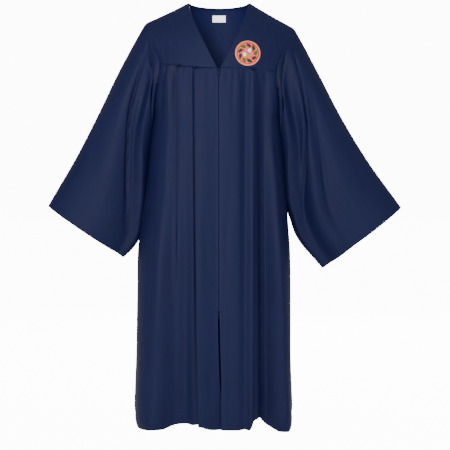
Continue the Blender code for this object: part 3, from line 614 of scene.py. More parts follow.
def edge_marks(grid, edges, width=MARK_WIDTH):
    """1 on the named edges of a grid, fading away from them as exp(-distance/width)."""
    down, across = lengths_along(grid, 0), lengths_along(grid, 1)
    away = {
        "top": down,
        "bottom": down[-1:] - down,
        "first": across,
        "last": across[:, -1:] - across,
    }
    return np.clip(sum(np.exp(-away[edge] / width) for edge in edges), 0, 1)


def press_seams(grid, inside, edges):
    """Presses the cloth in beside its seams: depth times exp(-distance/width) along each edge."""
    beside = edge_marks(grid, edges, SEAM_PRESS_WIDTH)
    return grid - normals_of(grid, inside) * (SEAM_PRESS * beside)[..., None]


def turn_up(grid, inside, depth):
    """Hem: half a circle at the bottom edge, then back up inside along the cloth's own rows."""
    out = normals_of(grid, inside)[::-1]
    rows = grid[::-1].copy()
    arc = roll_over(rows, out[0], HEM_ROLL, HALF_STEPS)
    run = np.cumsum(np.linalg.norm(np.diff(rows, axis=0), axis=-1).mean(axis=1))
    last = int(np.searchsorted(run, depth)) + 1
    up = rows[1:last + 1] - 2 * HEM_ROLL * out[1:last + 1]
    return np.concatenate([up[::-1], arc[::-1], rows])[::-1]


def line_beside(grid, inside, edge, away):
    """Points at a distance from an edge, and their normals, read off the lines that leave it."""
    rows = edge_first(grid, edge)
    normals = edge_first(normals_of(grid, inside), edge)
    run = lengths_along(rows, 0)
    after = np.argmax(run > away, axis=0)
    column = np.arange(rows.shape[1])
    share = (away - run[after - 1, column]) / (run[after, column] - run[after - 1, column])
    points = rows[after - 1, column] * (1 - share[:, None]) + rows[after, column] * share[:, None]
    return points, normals[after, column]


print(f"hem {HEM_DEPTH * 1000:.0f} mm, cuffs {CUFF_DEPTH * 1000:.0f} mm")

# %% [markdown]
# ## From grid to cloth
# A grid of points becomes a mesh of quads. Its UV map is in metres, counted along the rows and
# down the columns, so that the weave keeps its size everywhere. A modifier gives the sheet a
# thickness of 0.7 mm, half to each side. Each sheet then rides on the gown, stands for its
# solid, and says how large its cloth was cut.


# %% From grid to cloth
def in_scene(name, mesh, finish):
    """Object of a mesh, shaded smooth, with its finish."""
    mesh.shade_smooth()
    mesh.materials.append(finish)
    made = bpy.data.objects.new(name, mesh)
    bpy.context.scene.collection.objects.link(made)
    return made


def surface(name, grid, finish, closed=False, pressed=None):
    """Mesh of a grid: quads, a UV map in metres and how far each point is pressed."""
    rows, columns = grid.shape[:2]
    wide = np.concatenate([grid, grid[:, :1]], axis=1) if closed else grid
    corner = np.arange(rows * columns).reshape(rows, columns)
    corner = np.concatenate([corner, corner[:, :1]], axis=1) if closed else corner
    uv = np.stack([lengths_along(wide, 1), lengths_along(wide, 0)], axis=-1)

    def quads(values):
        return np.stack([values[:-1, :-1], values[:-1, 1:], values[1:, 1:], values[1:, :-1]], axis=2)

    mesh = bpy.data.meshes.new(name)
    mesh.from_pydata(grid.reshape(-1, 3), [], quads(corner).reshape(-1, 4))
    layer = mesh.uv_layers.new(name="cloth")
    layer.data.foreach_set("uv", quads(uv).astype(np.float32).ravel())
    mark = mesh.attributes.new("pressed", "FLOAT", "POINT")
    values = np.zeros((rows, columns)) if pressed is None else pressed
    mark.data.foreach_set("value", values.astype(np.float32).ravel())
    return in_scene(name, mesh, finish)


def thicken(made, thickness=CLOTH_THICKNESS):
    """Gives a sheet its thickness, half to each side."""
    solidify = made.modifiers.new("cloth", "SOLIDIFY")
    solidify.thickness = thickness
    solidify.offset = 0
    solidify.use_quality_normals = True
    return made


def sewn(made, node, flat):
    """Says what a sheet of cloth stands for and how it was cut."""
    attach(made, "gown")
    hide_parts(node)
    polygons = len(made.data.polygons)
    print(f"{made.name}: {polygons} quads, cut from {flat[0]:.2f} x {flat[1]:.2f} m")


# %% [markdown]
# ## Fronts
# Each front is a long panel set into the yoke with pressed pleats. On the wearer's right two
# knife pleats hang straight, the inner one to the hem. On the left the cloth falls in one soft
# roll beside a deep, wide hollow. The zip holds the fronts edge to edge, and below it the right
# front laps a little behind the left, so that the slit shows as a dark line.

# %% Fronts
OPENING_AT_SLIDER, OPENING_CLOSED = 0.0096, 0.0016
ZIP_EDGE_REACH, CREASES_END_WITHIN = 0.0004, 0.010
# The slit opens below the zip, and toward the hem the fronts lap over one another again.
SLIT_WIDTH, SLIT_SHUTS, UNDERLAP_DEPTH = 0.0034, 1.8, 0.0120
OPENING_NARROWS = (-0.211, -0.238)
ZIP_END_Z = -0.903
SLIT_OPENS, SLIT_SHUTS_BETWEEN = (ZIP_END_Z, ZIP_END_Z - 0.03), (-1.10, -1.18)
HEM_SWAY, EDGE_MOVES_WITHIN = 0.008, 0.03
# The left front's hem curls up beside its roll: by how much, and between which places.
HEM_CURL, CURL_STARTS, CURL_FULL, CURL_EASES, CURL_ENDS = 0.025, 0.087, 0.106, 0.116, 0.172
# The right front's hem lifts a little round the edge of its inner pleat.
PLEAT_HEM_LIFT, PLEAT_HEM_AT, PLEAT_HEM_WIDE = 0.010, 0.058, 0.020
HEM_SHAPED = (-1.05, -1.23)
FRONT_ROWS, FRONT_ROWS_CROWD = 150, 1.25
BODY_INSIDE = (0.0, 0.0, -0.7)

# Columns: place at its start and end, height of both, share where it is deepest, depth,
# half width and bow. Places are distances round from the centre, without the side's sign.
FRONT_CREASES = {
    RIGHT: (
        (0.030, 0.026, -0.200, -0.330, 0.20, 0.0011, 0.0060, 0.002),
        (0.052, 0.050, -0.200, -0.262, 0.25, 0.0014, 0.0035, -0.001),
        (0.083, 0.086, -0.198, -0.300, 0.20, 0.0012, 0.0045, 0.001),
        (0.106, 0.104, -0.196, -0.252, 0.22, 0.0015, 0.0040, 0.000),
        (0.141, 0.146, -0.190, -0.285, 0.20, 0.0020, 0.0050, 0.002),
        (0.158, 0.163, -0.188, -0.250, 0.25, 0.0024, 0.0040, 0.001),
        (0.170, 0.188, -0.205, -0.420, 0.30, 0.0022, 0.0080, -0.004),
        (0.150, 0.170, -0.420, -0.700, 0.45, 0.0018, 0.0110, 0.004),
        (0.036, 0.032, -0.560, -0.900, 0.50, 0.0009, 0.0100, 0.003),
        (0.164, 0.205, -0.800, -1.240, 0.60, 0.0026, 0.0140, -0.006),
        (0.024, 0.030, -0.940, -1.230, 0.60, 0.0014, 0.0090, -0.002),
    ),
    LEFT: (
        (0.022, 0.025, -0.200, -0.300, 0.22, 0.0013, 0.0050, 0.001),
        (0.044, 0.040, -0.200, -0.400, 0.18, 0.0016, 0.0065, -0.002),
        (0.060, 0.061, -0.200, -0.250, 0.25, 0.0018, 0.0035, 0.000),
        (0.089, 0.086, -0.202, -0.270, 0.25, 0.0014, 0.0035, 0.001),
        (0.116, 0.120, -0.206, -0.300, 0.20, 0.0022, 0.0045, 0.002),
        (0.137, 0.146, -0.208, -0.262, 0.25, 0.0026, 0.0040, 0.001),
        (0.155, 0.170, -0.214, -0.330, 0.22, 0.0024, 0.0055, -0.002),
        (0.160, 0.182, -0.330, -0.560, 0.40, 0.0020, 0.0090, 0.004),
        (0.030, 0.028, -0.500, -0.860, 0.45, 0.0011, 0.0110, -0.003),
        (0.166, 0.204, -0.760, -1.230, 0.55, 0.0028, 0.0130, 0.006),
        (0.022, 0.028, -0.960, -1.240, 0.55, 0.0016, 0.0080, 0.002),
    ),
}


def down_shares(rows):
    """Shares of the way from the yoke to the hem, closer together where the folds open."""
    return np.linspace(0, 1, rows + 1) ** FRONT_ROWS_CROWD


def opened(down):
    """A fold is shut at the seam and open a little below it: 1 - exp(-distance/opening)."""
    return 1 - math.exp(-down * (V_POINT_Z - HEM_Z) / FOLD_OPENS_OVER)


def part_centre(grid, side):
    """Parts the fronts at the centre: x moves by half the opening, times exp(-|x|/reach)."""
    z = grid[:, :, 2]
    begins, ends = OPENING_NARROWS
    at_top, at_hem = fade(z, ends, begins), fade(z, ZIP_END_Z, HEM_Z)
    opening = OPENING_CLOSED + (OPENING_AT_SLIDER - OPENING_CLOSED) * at_top
    near = np.exp(-np.abs(grid[:, :, 0]) / EDGE_MOVES_WITHIN)
    grid[:, :, 0] += (side * opening / 2 + HEM_SWAY * at_hem) * near
    opens, shuts = fade(z, *SLIT_OPENS), SLIT_SHUTS * fade(z, *SLIT_SHUTS_BETWEEN)
    grid[:, :, 0] += side * SLIT_WIDTH / 2 * (opens - shuts) * near
    if side == RIGHT:
        grid[:, :, 1] += UNDERLAP_DEPTH * at_hem * near
    return grid


def front_grid(side):
    """Rows of a front from the yoke to the hem, from its centre edge to its side."""
    folds = np.array(FRONT_FOLDS[side])
    columns = columns_between([int(n) for n in folds[:, 6]])
    grid, places_round = [], []
    for down in down_shares(FRONT_ROWS):
        row = plain_row(side, True, down, half_shares())
        row = row[::-1] if side == RIGHT else row
        length = signed_length(row)
        end = abs(length[0] if side == RIGHT else length[-1])
        places = np.append(folds[:, 0] + (folds[:, 1] - folds[:, 0]) * down, end)
        height = V_POINT_Z + (HEM_Z - V_POINT_Z) * down
        rises = [smooth_curve(FOLD_HEIGHTS[::-1], fold[2:6][::-1], height) for fold in folds]
        rises = np.append(rises, 0.0)
        at_columns = columns
        if side == RIGHT:
            places, rises = -places[::-1], rises[::-1]
            at_columns = len(places) - 1 - columns
        slide = pleat_slide(side, down, height)
        point, normal, rise, at = fold_row(row, places, rises, at_columns, 1, slide)
        rise = rise * opened(down)
        trough = np.clip(-rise, 0, None) * fade(height, *TROUGHS_LIFT)
        moved = point + normal * rise[:, None]
        moved[:, 2] += HEM_LIFT_SHARE * trough
        near_hem = fade(height, *HEM_SHAPED)
        if side == LEFT:
            curl = fade(at, CURL_STARTS, CURL_FULL) * fade(at, CURL_ENDS, CURL_EASES)
            moved[:, 2] += HEM_CURL * curl * near_hem
        else:
            from_pleat = (np.abs(at) - PLEAT_HEM_AT) / PLEAT_HEM_WIDE
            moved[:, 2] += PLEAT_HEM_LIFT * np.exp(-from_pleat**2) * near_hem
        grid.append(moved)
        places_round.append(np.abs(at))
    grid, around = part_centre(np.array(grid), side), np.array(places_round)
    rise = creases(around, grid[:, :, 2], FRONT_CREASES[side])
    rise *= 1 - edge_marks(grid, ("last",), CREASES_END_WITHIN)
    return grid + normals_of(grid, BODY_INSIDE) * rise[:, :, None]


FRONT_FLAT = {RIGHT: ((0.410, 1.100), 0.385), LEFT: ((0.385, 1.085), 0.343)}
front_grids = {}
for side, word in SIDE_WORDS.items():
    front_grids[side] = press_seams(front_grid(side), BODY_INSIDE, ("top", "last"))
    grid = turn_up(front_grids[side], BODY_INSIDE, HEM_DEPTH)
    grid = turn_in(grid, BODY_INSIDE, ("top", "last"))
    grid = turn_in(grid, BODY_INSIDE, ("first",), reach=ZIP_EDGE_REACH)
    marks = PRESSED_EDGE * edge_marks(grid, ("bottom", "first"))
    front = thicken(surface(f"gown_front_{word}", grid, POPLIN, pressed=marks))
    flat, area = FRONT_FLAT[side]
    sewn(front, f"front_{word}", flat)

# %% [markdown]
# ## Back
# The back is one wide panel gathered into the back yoke. It hangs in ten rounded flutes that
# spread toward the hem, like the pipes of an organ. Shorter gathers lie between them under the
# yoke, and soft creases cross the hollows lower down.

# %% Back
COLUMNS_A_FLUTE = 20
BACK_ROWS = 140
FLUTE_ROUNDNESS, ROUNDS_OVER, FLUTE_DEPTH_SHARE = 0.85, 0.40, 0.80
BACK_CREASES = (
    (-0.140, -0.144, -0.200, -0.300, 0.22, 0.0030, 0.0040, 0.002),
    (-0.109, -0.112, -0.200, -0.262, 0.25, 0.0026, 0.0032, 0.000),
    (-0.079, -0.083, -0.200, -0.330, 0.20, 0.0032, 0.0040, 0.001),
    (-0.047, -0.046, -0.200, -0.275, 0.24, 0.0027, 0.0034, 0.001),
    (-0.015, -0.017, -0.200, -0.312, 0.20, 0.0033, 0.0038, -0.001),
    (0.019, 0.021, -0.200, -0.256, 0.26, 0.0025, 0.0032, 0.000),
    (0.050, 0.054, -0.200, -0.342, 0.19, 0.0034, 0.0040, 0.001),
    (0.081, 0.083, -0.200, -0.270, 0.24, 0.0027, 0.0034, -0.001),
    (0.114, 0.119, -0.200, -0.318, 0.21, 0.0030, 0.0038, 0.001),
    (0.143, 0.150, -0.196, -0.284, 0.24, 0.0028, 0.0036, 0.002),
    (-0.168, -0.190, -0.230, -0.520, 0.35, 0.0030, 0.0080, -0.004),
    (0.162, 0.186, -0.240, -0.560, 0.35, 0.0032, 0.0085, 0.005),
    (-0.100, -0.150, -0.520, -0.980, 0.50, 0.0030, 0.0120, 0.006),
    (0.088, 0.118, -0.600, -1.120, 0.55, 0.0034, 0.0130, -0.005),
    (0.020, 0.030, -0.700, -1.230, 0.60, 0.0028, 0.0100, 0.004),
    (-0.060, -0.082, -0.820, -1.240, 0.60, 0.0032, 0.0110, -0.004),
)


def round_flutes(columns, places, down):
    """Slides points toward ridges and troughs: k s / 2 pi sin(2 pi t), t of the spacing s."""
    line = np.minimum(columns.astype(int), len(places) - 2)
    spacing = np.diff(places)[line]
    k = FLUTE_ROUNDNESS * smooth_step(down / ROUNDS_OVER)
    return k * spacing / (2 * math.pi) * np.sin(2 * math.pi * (columns - line))


def back_grid():
    """Rows of the back from side to side. Between two flutes the cloth goes in by 3/4 as much."""
    flutes = np.array(BACK_FLUTES)
    middle = (flutes[1:] + flutes[:-1]) / 2
    middle[:, 2:] *= -TROUGH_SHARE
    lines = np.empty((2 * len(flutes) - 1, 4))
    lines[0::2], lines[1::2] = flutes, middle
    half = COLUMNS_A_FLUTE // 2
    columns = columns_between([COLUMNS_A_FLUTE] + [half] * (len(lines) - 1) + [COLUMNS_A_FLUTE])
    grid, places_round = [], []
    for down in down_shares(BACK_ROWS):
        halves = [plain_row(side, False, down, half_shares()) for side in (RIGHT, LEFT)]
        row = np.concatenate([halves[0][::-1], halves[1][1:]])
        length = signed_length(row)
        places = lines[:, 0] + (lines[:, 1] - lines[:, 0]) * down
        rises = lines[:, 2] + (lines[:, 3] * FLUTE_DEPTH_SHARE - lines[:, 2]) * down
        places = np.concatenate([[length[0]], places, [length[-1]]])
        rises = np.concatenate([[0.0], rises, [0.0]])
        rounding = round_flutes(columns, places, down)
        point, normal, rise, at = fold_row(row, places, rises, columns, -1, lambda at: rounding)
        grid.append(point + normal * (rise * opened(down))[:, None])
        places_round.append(at)
    grid, around = np.array(grid), np.array(places_round)
    rise = creases(around, grid[:, :, 2], BACK_CREASES)
    rise *= 1 - edge_marks(grid, ("first", "last"), CREASES_END_WITHIN)
    return grid + normals_of(grid, BODY_INSIDE) * rise[:, :, None]


BACK_FLAT, BACK_AREA = (1.260, 1.100), 1.02
pressed_back = press_seams(back_grid(), BODY_INSIDE, ("top", "first", "last"))
grid = turn_up(pressed_back, BODY_INSIDE, HEM_DEPTH)
grid = turn_in(grid, BODY_INSIDE, ("top", "first", "last"))
marks = PRESSED_EDGE * edge_marks(grid, ("bottom",))
back = thicken(surface("gown_back", grid, POPLIN, pressed=marks))
sewn(back, "back", BACK_FLAT)

# %% [markdown]
# ## Yokes
# The yokes lie smoothly over the shoulders and carry the whole weight. Each is the simplest
# sheet that fills four given edges: it adds the sheet between two opposite edges to that between
# the other two, and takes away the flat one through the corners.

# %% Yokes
YOKE_ROWS, YOKE_COLUMNS, BACK_YOKE_HALF_COLUMNS = 44, 56, 44
YOKE_INSIDE = (0.0, 0.01, -0.30)


def mirrored(slope, side):
    """A slope of the wearer's left, or its mirror image for the right."""
    return np.array([side * slope[0], slope[1], slope[2]])


def neck_point(side):
    """Where the shoulder seam meets the V and the back neck."""
    return np.array([side * NECK_HALF_WIDTH, NECK_POINT_Y, 0.0])


def shoulder_seam(side, share):
    """Straight from the neck point to the shoulder point, less a sine's hollow between them."""
    neck = neck_point(side)
    line = neck + (armhole(side, 0.0) - neck) * share[:, None]
    line[:, 2] -= SHOULDER_HOLLOW * np.sin(math.pi * share)
    return line


def v_edge(side, share):
    """The edge of the V: a cubic from the neck point to the top of the zip, parted there."""
    end = np.array([0.0, -level(3, V_POINT_Z), V_POINT_Z])
    leave, arrive = (mirrored(slope, side) for slope in V_EDGE_SLOPES)
    edge = hermite(neck_point(side), end, leave, arrive, share[:, None])
    edge[:, 0] += side * OPENING_AT_SLIDER / 2 * np.exp(-np.abs(edge[:, 0]) / EDGE_MOVES_WITHIN)
    return edge


def back_neck_edge(side, share):
    """Half the back neck: a cubic from the neck point to its middle."""
    end = np.array([0.0, BACK_NECK_Y, BACK_NECK_Z])
    leave, arrive = (mirrored(slope, side) for slope in BACK_NECK_SLOPES)
    return hermite(neck_point(side), end, leave, arrive, share[:, None])


def between_edges(top, bottom, first, last):
    """Fills four edges: (1-u) first + u last + (1-v) top + v bottom, less that of the corners."""
    u = np.linspace(0, 1, len(top))[None, :, None]
    v = np.linspace(0, 1, len(first))[:, None, None]
    across = (1 - u) * first[:, None] + u * last[:, None]
    down = (1 - v) * top[None] + v * bottom[None]
    upper = (1 - u) * top[0] + u * top[-1]
    lower = (1 - u) * bottom[0] + u * bottom[-1]
    return across + down - (1 - v) * upper - v * lower


# Columns as for the fronts, with shares across the yoke in place of distances, and shares down
# in place of heights. Half widths and bows are shares too.
FRONT_YOKE_CREASES = (
    (0.30, 0.55, 0.10, 0.75, 0.45, 0.0008, 0.030, 0.03),
    (0.96, 0.80, 0.15, 0.90, 0.55, 0.0011, 0.028, -0.02),
    (0.62, 0.86, 0.30, 1.00, 0.60, 0.0008, 0.026, 0.02),
    (0.30, 0.34, 0.80, 1.02, 0.70, 0.0007, 0.016, 0.00),
    (0.72, 0.74, 0.84, 1.02, 0.70, 0.0008, 0.014, 0.00),
)
BACK_YOKE_CREASES = (
    (0.12, 0.20, 0.20, 0.85, 0.50, 0.0014, 0.020, 0.01),
    (0.88, 0.81, 0.20, 0.90, 0.50, 0.0014, 0.020, -0.01),
    (0.33, 0.37, 0.55, 1.00, 0.65, 0.0011, 0.014, 0.00),
    (0.65, 0.62, 0.50, 1.00, 0.65, 0.0012, 0.014, 0.00),
    (0.47, 0.49, 0.60, 1.00, 0.70, 0.0008, 0.012, 0.00),
)


def shares_of(grid):
    """Share across and share down at each point of a grid."""
    rows, columns = grid.shape[:2]
    return np.meshgrid(np.linspace(0, 1, columns), np.linspace(0, 1, rows))


def front_yoke_grid(side):
    """A front yoke from its V edge to the armhole, and from the shoulder to the seam."""
    across, down = np.linspace(0, 1, YOKE_COLUMNS + 1), np.linspace(0, 1, YOKE_ROWS + 1)
    bottom = plain_row(side, True, 0.0, across)
    v_end = v_edge(side, down)[-1]
    bottom[:, 0] += (v_end[0] - bottom[0, 0]) * np.exp(-np.abs(bottom[:, 0]) / EDGE_MOVES_WITHIN)
    edge = armhole(side, FRONT_CORNER_TURN * down)
    grid = between_edges(shoulder_seam(side, across), bottom, v_edge(side, down), edge)
    rise = creases(*shares_of(grid), FRONT_YOKE_CREASES)
    return grid + normals_of(grid, YOKE_INSIDE) * rise[:, :, None]


def back_yoke_grid():
    """The back yoke, in one piece round the back neck from one armhole to the other."""
    across = np.linspace(0, 1, BACK_YOKE_HALF_COLUMNS + 1)
    down = np.linspace(0, 1, YOKE_ROWS + 1)
    halves = []
    for side in (RIGHT, LEFT):
        neck = back_neck_edge(side, across)[::-1]
        top = np.concatenate([neck, shoulder_seam(side, across)[1:]])
        bottom = plain_row(side, False, 0.0, np.linspace(0, 1, len(top)))
        leave, arrive = (np.array(slope) for slope in BACK_CENTRE_SLOPES)
        centre = hermite(neck[0], bottom[0], leave, arrive, down[:, None])
        edge = armhole(side, 1 - (1 - BACK_CORNER_TURN) * down)
        halves.append(between_edges(top, bottom, centre, edge))
    right, left = halves
    grid = np.concatenate([right[:, ::-1], left[:, 1:]], axis=1)
    rise = creases(*shares_of(grid), BACK_YOKE_CREASES)
    return grid + normals_of(grid, YOKE_INSIDE) * rise[:, :, None]


YOKE_FLAT, YOKE_AREA = (0.175, 0.252), 0.035
BACK_YOKE_FLAT, BACK_YOKE_AREA = (0.552, 0.217), 0.090
yoke_grids, pressed_yokes = {}, {}
for side, word in SIDE_WORDS.items():
    yoke_grids[side] = front_yoke_grid(side)
    pressed_yokes[side] = press_seams(yoke_grids[side], YOKE_INSIDE, ("bottom", "last"))
    grid = turn_in(pressed_yokes[side], YOKE_INSIDE, ("bottom", "last", "top", "first"))
    marks = PRESSED_YOKE * edge_marks(grid, ("bottom", "first"), YOKE_MARK_WIDTH)
    yoke = thicken(surface(f"gown_yoke_front_{word}", grid, POPLIN, pressed=marks))
    node = f"yoke_front_{word}"
    sewn(yoke, node, YOKE_FLAT)
back_yoke = back_yoke_grid()
pressed_back_yoke = press_seams(back_yoke, YOKE_INSIDE, ("bottom", "first", "last"))
grid = turn_in(pressed_back_yoke, YOKE_INSIDE, ("bottom", "first", "last", "top"))
marks = PRESSED_BACK_YOKE * edge_marks(grid, ("bottom", "top"), YOKE_MARK_WIDTH)
yoke = thicken(surface("gown_yoke_back", grid, POPLIN, pressed=marks))
# The inner side gets the lighter navy, which is painted light inside the neck.
yoke.data.materials.append(POPLIN_PAINTED_LIGHT_INSIDE)
yoke.modifiers["cloth"].material_offset = 1
sewn(yoke, "yoke_back", BACK_YOKE_FLAT)

# %% [markdown]
# ## Sleeves
# A gown's sleeve is a wide bell. Its rings turn from the armhole into a long flat oval at the
# cuff, so that the upper edge slopes out straight and the lower corner hangs in a point. Folds
# start as gathers at the sleeve head, in front and behind, and sweep down to the lower edge.
# The sleeve lies against the body under the arm. Its inner edge is drawn in there, so that no
# daylight shows between the two, and it sinks into the body's sheet by up to 10 mm.

# %% Sleeves
# Columns: share of the way to the cuff, upper edge (out, height), lower edge (out, height),
# depth in front and behind.
SLEEVE_STATIONS = {
    RIGHT: (
        (0.00, 0.2180, -0.0600, 0.2010, -0.3350, 0.070, 0.078),
        (0.25, 0.2938, -0.1980, 0.2100, -0.4410, 0.070, 0.074),
        (0.50, 0.3602, -0.3330, 0.2180, -0.5370, 0.066, 0.070),
        (0.75, 0.4307, -0.4680, 0.2352, -0.6570, 0.062, 0.064),
        (0.90, 0.4784, -0.5488, 0.2530, -0.7250, 0.060, 0.062),
        (1.00, 0.5102, -0.6027, 0.2835, -0.7560, 0.058, 0.060),
    ),
    LEFT: (
        (0.00, 0.2235, -0.0750, 0.1860, -0.3400, 0.070, 0.078),
        (0.25, 0.2942, -0.2070, 0.1905, -0.4450, 0.070, 0.074),
        (0.50, 0.3647, -0.3410, 0.1990, -0.5480, 0.068, 0.070),
        (0.75, 0.4467, -0.4740, 0.2252, -0.6840, 0.064, 0.066),
        (1.00, 0.5441, -0.6075, 0.3077, -0.7890, 0.060, 0.062),
    ),
}
SLEEVE_FREE_AT, SLEEVE_CENTRE_Y = 0.35, 0.006
SLEEVE_SEAM_OFF, SLEEVE_EASE, SLEEVE_EASES_OVER = 0.0004, 0.0010, 0.10
# How far the inner edge is drawn in, round which turn and how wide, and between which runs.
SLEEVE_HUGS, SLEEVE_HUGS_TURN, SLEEVE_HUGS_WIDE = 0.0105, 0.46, 0.085
SLEEVE_HUGS_TO, HUG_BEGINS_OVER, HUG_ENDS_OVER = {RIGHT: 0.80, LEFT: 0.58}, 0.10, 0.12
# Columns: turn at the armhole and at the cuff, rise at the five runs, columns to the next line.
SLEEVE_FOLD_RUNS = (0.0, 0.15, 0.40, 0.70, 1.0)
SLEEVE_FOLD_SWEEP = 0.40
SLEEVE_FOLDS = {
    RIGHT: (
        (0.000, 0.000, 0.0, 0.000, 0.000, 0.000, 0.000, 8),
        (0.035, 0.250, 0.0, 0.002, 0.004, 0.004, 0.003, 14),
        (0.120, 0.405, 0.0, -0.010, -0.013, -0.011, -0.006, 20),
        (0.190, 0.452, 0.0, 0.007, 0.010, 0.009, 0.005, 14),
        (0.330, 0.480, 0.0, 0.002, 0.003, 0.001, 0.000, 9),
        (0.420, 0.492, 0.0, 0.000, 0.000, 0.000, 0.000, 9),
        (0.500, 0.500, 0.0, 0.000, 0.000, 0.000, 0.000, 9),
        (0.640, 0.512, 0.0, 0.000, 0.000, 0.000, 0.000, 12),
        (0.820, 0.560, 0.0, 0.006, 0.009, 0.007, 0.004, 14),
        (0.915, 0.600, 0.0, -0.011, -0.016, -0.015, -0.008, 12),
        (0.968, 0.740, 0.0, 0.002, 0.004, 0.005, 0.004, 12),
    ),
    LEFT: (
        (0.000, 0.000, 0.0, 0.000, 0.000, 0.000, 0.000, 8),
        (0.020, 0.210, 0.0, 0.002, 0.004, 0.005, 0.004, 10),
        (0.045, 0.290, 0.0, 0.000, -0.002, -0.004, -0.004, 10),
        (0.068, 0.335, 0.0, 0.003, 0.006, 0.007, 0.005, 12),
        (0.140, 0.405, 0.0, -0.011, -0.014, -0.012, -0.005, 20),
        (0.220, 0.455, 0.0, 0.007, 0.010, 0.008, 0.004, 14),
        (0.350, 0.482, 0.0, 0.002, 0.002, 0.001, 0.000, 9),
        (0.430, 0.493, 0.0, 0.000, 0.000, 0.000, 0.000, 9),
        (0.500, 0.500, 0.0, 0.000, 0.000, 0.000, 0.000, 9),
        (0.640, 0.515, 0.0, 0.000, 0.000, 0.000, 0.000, 12),
        (0.835, 0.565, 0.0, 0.006, 0.009, 0.007, 0.004, 14),
        (0.920, 0.610, 0.0, -0.012, -0.017, -0.015, -0.007, 12),
        (0.972, 0.770, 0.0, 0.002, 0.004, 0.005, 0.004, 12),
    ),
}
SLEEVE_ROWS, SLEEVE_ROWS_CROWD = 110, 1.12
# Columns as for the fronts, with turns and runs in place of distances and heights.
SLEEVE_CREASES = {
    RIGHT: (
        (0.070, 0.470, 0.000, 0.200, 0.50, 0.0170, 0.019, 0.024),
        (0.140, 0.395, 0.020, 0.970, 0.40, 0.0140, 0.009, 0.030),
        (0.030, 0.090, 0.000, 0.070, 0.35, 0.0030, 0.007, 0.000),
        (0.985, 0.900, 0.000, 0.080, 0.35, 0.0030, 0.008, 0.000),
        (0.900, 0.560, 0.000, 0.260, 0.50, 0.0110, 0.022, 0.000),
        (0.120, 0.180, 0.420, 0.900, 0.55, 0.0020, 0.016, 0.010),
        (0.800, 0.740, 0.300, 0.850, 0.50, 0.0030, 0.018, -0.010),
    ),
    LEFT: (
        (0.150, 0.470, 0.000, 0.220, 0.50, 0.0130, 0.020, 0.010),
        (0.090, 0.400, 0.000, 0.800, 0.45, 0.0160, 0.010, 0.034),
        (0.160, 0.310, 0.250, 0.980, 0.45, 0.0045, 0.009, 0.010),
        (0.036, 0.100, 0.000, 0.080, 0.35, 0.0030, 0.007, 0.000),
        (0.980, 0.890, 0.000, 0.070, 0.35, 0.0030, 0.008, 0.000),
        (0.905, 0.560, 0.000, 0.240, 0.50, 0.0120, 0.022, 0.000),
        (0.090, 0.150, 0.500, 0.950, 0.55, 0.0022, 0.016, -0.010),
        (0.820, 0.760, 0.350, 0.900, 0.50, 0.0030, 0.018, 0.010),
    ),
}


def sleeve_grid(side):
    """Rings from the armhole to the cuff, each with its folds standing out along its normals."""
    folds = np.array(SLEEVE_FOLDS[side])
    wrapped = np.concatenate([folds, folds[:1] + np.array([1, 1, 0, 0, 0, 0, 0, 0])])
    columns = columns_between([int(n) for n in folds[:, 7]])[:-1]
    lines = np.arange(len(wrapped))
    run = np.linspace(0, 1, SLEEVE_ROWS + 1) ** SLEEVE_ROWS_CROWD
    at_armhole = np.interp(columns, lines, wrapped[:, 0])
    at_cuff = np.interp(columns, lines, wrapped[:, 1])
    turn = at_armhole + (at_cuff - at_armhole) * (run**SLEEVE_FOLD_SWEEP)[:, None]
    stations = np.array(SLEEVE_STATIONS[side])
    sizes = smooth_curve(stations[:, 0], stations[:, 1:], run)
    up_x, up_z, low_x, low_z, front, back_depth = sizes.T[:, :, None]
    angle = 2 * math.pi * turn
    half = (1 + np.cos(angle)) / 2
    depth = np.where(np.sin(angle) > 0, -front, back_depth) * np.abs(np.sin(angle))
    x = side * (low_x + (up_x - low_x) * half)
    z = low_z + (up_z - low_z) * half
    oval = np.stack([x, SLEEVE_CENTRE_Y + depth, z], axis=-1)
    hole = armhole(side, turn)
    up_drift = np.stack([side * (up_x - up_x[0]), 0 * up_x, up_z - up_z[0]], axis=-1)
    low_drift = np.stack([side * (low_x - low_x[0]), 0 * low_x, low_z - low_z[0]], axis=-1)
    drift = low_drift + (up_drift - low_drift) * half[..., None]
    free = smooth_step(run / SLEEVE_FREE_AT)[:, None, None]
    grid = (hole + drift) * (1 - free) + oval * free
    rises = np.array([smooth_curve(SLEEVE_FOLD_RUNS, fold[2:7], run) for fold in wrapped])
    rise = np.array([monotone_curve(lines, at_row, columns) for at_row in rises.T])
    grid = grid + normals_of(grid, ring_middles(grid)) * rise[..., None]
    rise = creases(turn, np.broadcast_to(run[:, None], turn.shape), SLEEVE_CREASES[side])
    grid = grid + normals_of(grid, ring_middles(grid)) * rise[..., None]
    set_off = SLEEVE_SEAM_OFF + SLEEVE_EASE * smooth_step(run / SLEEVE_EASES_OVER)
    grid[:, :, 0] += side * set_off[:, None]
    begins = smooth_step(run / HUG_BEGINS_OVER)
    ends = smooth_step((SLEEVE_HUGS_TO[side] + HUG_ENDS_OVER - run) / HUG_ENDS_OVER)
    near_body = np.exp(-(((turn - SLEEVE_HUGS_TURN) / SLEEVE_HUGS_WIDE) ** 2))
    grid[:, :, 0] -= side * SLEEVE_HUGS * (begins * ends)[:, None] * near_body
    return grid


